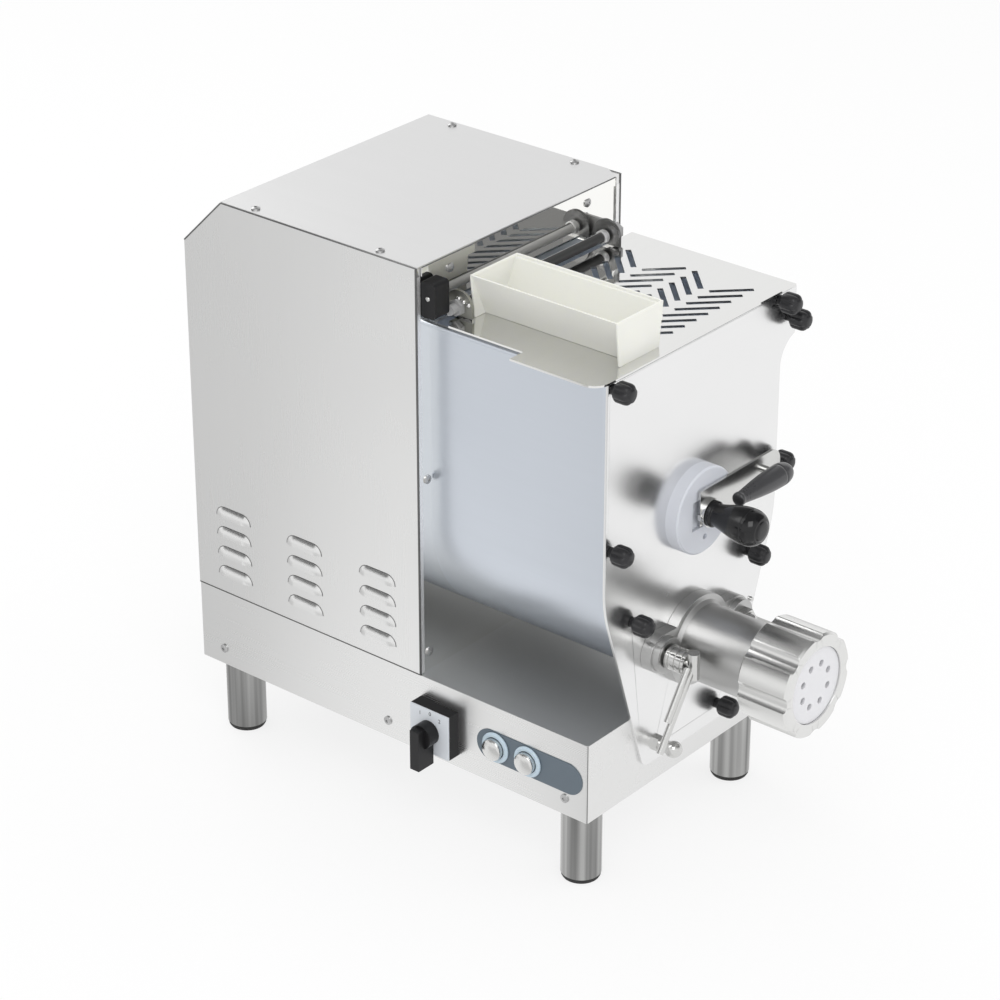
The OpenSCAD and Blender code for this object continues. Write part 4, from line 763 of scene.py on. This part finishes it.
def round_end(widest, power, foot, run, steps):
    """A handle's end, as rows of (radius, height) in millimetres, down to a pole.

    r(a) = widest cos(a)^power and h(a) = foot + run sin(a)^1.1, for a up to pi/2.
    """
    a = np.linspace(0, np.pi / 2, steps)[1:]
    end = np.stack([widest * np.cos(a) ** power, foot + run * np.sin(a) ** 1.1], axis=1)
    end[-1, 0] = 0.0
    return end


def axis_handle():
    """Black handle in line with the shaft: a collar, a swelling stem and a ringed round end.

    The ring is pressed into the end: its height falls by 0.7 exp(-((r - 10.5) / 0.9)^2)
    at the radius r.
    """
    ring_at, ring_wide, ring_deep = 10.5, 0.9, 0.7
    stem = swelling(11.0, 7.0, 1.3, 5.6, 36.4, 28)
    end = round_end(18.0, 0.55, 43.4, 14.6, 30)
    end[:, 1] -= ring_deep * np.exp(-(((end[:, 0] - ring_at) / ring_wide) ** 2))
    foot = np.array([[0, 0], [12.0, 0], [12.6, 0.3], [12.8, 0.9], [12.8, 3.5], [12.5, 4.1],
                     [11.9, 4.4], [11.4, 4.6], [11.1, 5.0]])
    groove = np.array([[17.9, 42.2], [17.3, 42.6], [17.3, 43.0], [17.9, 43.3]])
    handle = turned(
        "handle_front", np.vstack([foot, stem, groove, end]), place(0, -25, SHAFT_Z),
        (0, -1, 0), "lever", "black", "black_plastic",
    )
    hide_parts("axis_handle")


axis_handle()


def lobed_knob(name, x, z):
    """Clamping knob: a neck and a head whose radius waves six times round.

    r(t) = R (1 - 0.17 (1 - |cos 3t|^0.8) f(h)), where f is 1 along the head and 0 at its
    neck and on its face, so the flutes run out in both. The profile's rows are (R, h) in
    millimetres, from the bore's end over the neck and the head to the face.
    """
    profile = np.array([
        [0.0, 20.5], [3.6, 20.5], [3.6, 0.0], [4.7, 0.0], [5.2, 0.6], [5.2, 4.4], [6.2, 5.2],
        [8.4, 5.6], [9.6, 6.3], [10.2, 7.6], [10.2, 12.0], [10.2, 17.0], [9.6, 19.4],
        [8.6, 20.7], [7.3, 21.5], [6.3, 21.8], [5.7, 22.7], [3.8, 23.3], [0.0, 23.5]])

    def flutes(h, t):
        depth = np.clip((h - 5.5) / 2.0, 0, 1) * np.clip((23.2 - h) / 3.0, 0, 1)
        return 1 - 0.17 * depth * (1 - np.abs(np.cos(3 * t)) ** 0.8)

    knob = turned(
        name + "_head", profile, place(x, -3.3, z), (0, -1, 0), name, "knob",
        "black_plastic", 96, flutes,
    )
    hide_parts(name)


for knob_name, knob_x, knob_z in (
    ("knob_top_left", -126, PLATE_TOP - 5),
    ("knob_top_right", 126, PLATE_TOP - 5),
    ("knob_ear", 143, PLATE_TOP - 27),
    ("knob_mid_left", -125, 363),
    ("knob_mid_right", 125, 363),
    ("knob_low_left", -91, 276),
    ("knob_low_right", 91, 276),
    ("knob_foot_right", 48, 126),
):
    lobed_knob(knob_name, knob_x, knob_z)


def side_handle():
    """Dark handle along the lever's bar: a thin foot that swells to a rounded end."""
    foot = np.array([[0, 0], [5.4, 0], [6.4, 0.6], [6.8, 1.8], [6.8, 4.0], [6.2, 4.8]])
    stem = swelling(6.2, 4.9, 1.1, 5.5, 59.5, 30)
    groove = np.array([[10.6, 65.4], [10.6, 65.9], [11.1, 66.3]])
    end = round_end(11.1, 0.62, 66.5, 15.3, 16)
    grip = turned(
        "handle_side", np.vstack([foot, stem, groove, end]), place(19, -39.2, 371),
        (1, 0, 0), "lever", "dark", "dark_plastic",
    )
    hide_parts("side_handle")


side_handle()


def push_button(name, body, y):
    """Domed metal cap in a clear blue collar: a long skirt, a rolled rim and a low dome.

    Over the dome the radius is 9.6 (1 - a) and the height 9.6 + 2.4 sin(a pi/2)^0.9, in
    millimetres from the base's side.
    """
    rim, rim_high, rise = 9.6, 9.6, 2.4
    a = np.linspace(0, 1, 14)[1:]
    dome = np.stack([rim * (1 - a), rim_high + rise * np.sin(np.pi / 2 * a) ** 0.9], axis=1)
    skirt = [[0, -14], [10.9, -14], [10.95, 7.6], [10.9, 8.4], [10.5, 9.1], [10.0, 9.3],
             [rim, rim_high]]
    spot = place(-SIDE, y, BUTTON_Z)
    button = turned(
        name + "_cap", np.vstack([skirt, dome]), spot, (-1, 0, 0), body, "button", "clear_blue"
    )
    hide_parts(name)
    collar = rounded_profile(
        [[11.3, 1.0], [16.0, 1.0], [16.0, 2.6], [14.4, 3.6], [11.3, 3.6], [11.3, 1.0]], 0.8
    )
    turned(name + "_collar", collar, spot, (-1, 0, 0), "machine", "blue", "clear_blue")


push_button("start_button", "start", 110.5)
push_button("stop_button", "stop", 71)


def dial_mark(text, y, z, size):
    """A number on the switch plate, raised by a tenth of a millimetre, facing to the left.

    The font's own x, y and height run along the machine's -y, z and -x.
    """
    curve = bpy.data.curves.new("dial_" + text, "FONT")
    curve.body, curve.size, curve.extrude = text, size * MM, 0.06 * MM
    curve.align_x, curve.align_y = "CENTER", "CENTER"
    shape = bpy.data.objects.new("dial_shape_" + text, curve)
    bpy.context.scene.collection.objects.link(shape)
    bpy.context.view_layer.update()
    graph = bpy.context.evaluated_depsgraph_get()
    mesh = bpy.data.meshes.new_from_object(shape.evaluated_get(graph))
    bpy.data.objects.remove(shape)
    flat = np.zeros(len(mesh.vertices) * 3)
    mesh.vertices.foreach_get("co", flat)
    flat = flat.reshape(-1, 3)
    plate_x = -165.05
    spot = place(plate_x, SWITCH_Y + y, SWITCH_Z + z)
    solid = np.stack([spot[0] - flat[:, 2], spot[1] - flat[:, 0], spot[2] + flat[:, 1]], axis=1)
    mesh.vertices.foreach_set("co", solid.ravel())
    mesh.materials.clear()
    mesh.materials.append(FINISH["ink"])
    mark = bpy.data.objects.new("dial_" + text, mesh)
    bpy.context.scene.collection.objects.link(mark)
    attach(mark, "machine")


dial_mark("1", 11.4, 17.2, 6.0)
dial_mark("0", -1.2, 20.0, 6.0)
dial_mark("2", -13.0, 16.0, 6.0)


# Bolts, painted highlights on edges, and painted shade at seams and creases


def hinge_collar():
    """The pale collar that keeps the hinge's rod in its right ear."""
    ring = rounded_profile([[4.6, 0], [6.6, 0], [6.6, 6.5], [4.6, 6.5], [4.6, 0]], 0.5)
    turned("hinge_collar", ring, place(98.5, ROD_Y, ROD_Z), (1, 0, 0), "machine", "edge",
           "bright_steel", 32)


def lid_switch():
    """The lid's safety switch: a dark box with eased corners, and its cover's screw."""
    bottom, top, front, back, ease = 543.0, 578.0, 188.0, 206.4, 4.0
    outer, inner = -143.5, -123.5
    turn = np.radians(np.linspace(0, 90, 7))
    corners = ((back - ease, top - ease, 0), (front + ease, top - ease, 90),
               (front + ease, bottom + ease, 180), (back - ease, bottom + ease, 270))
    angles = [(y, z, t + math.radians(a)) for y, z, a in corners for t in turn]
    outline = [(y + ease * math.cos(t), z + ease * math.sin(t)) for y, z, t in angles]
    box = slab("switch_housing", outline, (outer, inner), lambda a, b, h: (h, a, b),
               "machine", "switch", "dark_plastic")
    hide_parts("safety_switch")
    dome = [[0, -1.0], [2.4, -1.0], [2.4, 0.6], [1.8, 1.3], [0.0, 1.5]]
    turned("switch_screw", dome, place(outer, 196.2, 562.5), (-1, 0, 0), "machine", "bright",
           "bright_steel", 20)


def hinge_bolts():
    """Three small domed bolts in a row on the outer face of the hinge's left ear."""
    dome = [[0, -1.0], [2.6, -1.0], [2.7, 0.8], [2.3, 1.9], [1.3, 2.6], [0.0, 2.8]]
    ear_x, spots = -110.5, ((187.5, 554.5), (181.5, 552.8), (175.6, 551.0))
    for number, (y, z) in enumerate(spots, 1):
        turned("hinge_bolt_%d" % number, dome, place(ear_x, y, z), (-1, 0, 0), "cover",
               "bright", "bright_steel", 20)


def seams():
    """Painted shade: dark lines in the gaps where the casing stands on the base and its sheets
    meet.
    """
    y, back, foot = CASE_FRONT, CASE_BACK, DECK + 0.1
    bead("seam_foot", [(-SIDE, y, foot), (-SIDE, back, foot), (SIDE, back, foot),
                       (SIDE, y, foot)], 0.6, "seam", "dark_plastic")
    for x, word in ((-SIDE, "left"), (SIDE, "right")):
        bead("seam_corner_" + word, [(x, y, foot), (x, y, CASE_TOP - 1)], 1.1, "seam",
             "dark_plastic")


def casing_edges():
    """The two front flanges' edges as painted highlights, the mirror face of the cover's lip,
    and its seam's painted shade.
    """

    def strip(name, left, right, bottom, top, depths, finish):
        outline = [(left, bottom), (right, bottom), (right, top), (left, top)]
        slab(name, outline, depths, lambda a, b, h: (a, h, b), "machine", finish, "sheet")

    outer, inner = SIDE - 1.0, 144.2
    flange, lip = CASE_FRONT, CASE_FRONT - 2.0
    for left, right, word in ((-outer, -inner, "left"), (inner, outer, "right")):
        strip("flange_edge_" + word, left, right, DECK + 0.8, CASE_TOP - 9.5,
              (flange - 0.2, flange + 0.3), "edge")
    strip("cover_lip_face", -143.9, 139.9, CASE_TOP - 8.9, CASE_TOP - 1.0,
          (lip - 0.15, lip + 0.3), "wall")
    # painted shade along the cover's front seam
    bead("seam_cover_front", [(-144.0, lip, CASE_TOP - 0.2), (140.0, lip, CASE_TOP - 0.2)], 0.5,
         "seam", "dark_plastic")


def painted_crease_shade():
    """Painted shade along pressed edges: dark beads over the louvres' outlines, along the
    cover's side edges and up the base's front corners.

    A louvre's outline is half a stadium: arcs of 10.5 mm over the ends of a run of 25 mm.
    The cover slopes at 45 degrees over its last 50.5 mm.
    """
    radius, half_run = 10.5, 12.5
    back, slope = CASE_BACK - 0.5, 50.5
    columns, rows, column_pitch, row_pitch = 3, 4, 95, 22
    first_y, first_z = 449.0, DECK + 86
    turn = np.radians(np.linspace(0, 90, 5))
    half = [(half_run + radius * math.cos(t), radius * math.sin(t)) for t in turn]
    outline = half + [(-y, z) for y, z in half[::-1]]
    for side, word in ((-1, "left"), (1, "right")):
        x, corner = side * SIDE, side * (SIDE - 0.1)
        for column in range(columns):
            for row in range(rows):
                y, z = first_y - column_pitch * column, first_z - row_pitch * row
                bead("louvre_crease_%s_%d_%d" % (word, column, row),
                     [(x, y + a, z + b) for a, b in outline], 0.45, "crease", "sheet", 6)
        bead("cover_crease_" + word, [(x, CASE_FRONT - 1, CASE_TOP), (x, back - slope, CASE_TOP),
                                      (x, back, CASE_TOP - slope)], 0.8, "crease", "sheet", 6)
        bead("corner_crease_" + word, [(corner, 0.1, 83.5), (corner, 0.1, DECK - 0.5)], 0.5,
             "crease", "sheet", 6)


hinge_collar()
lid_switch()
hinge_bolts()
casing_edges()
seams()
painted_crease_shade()
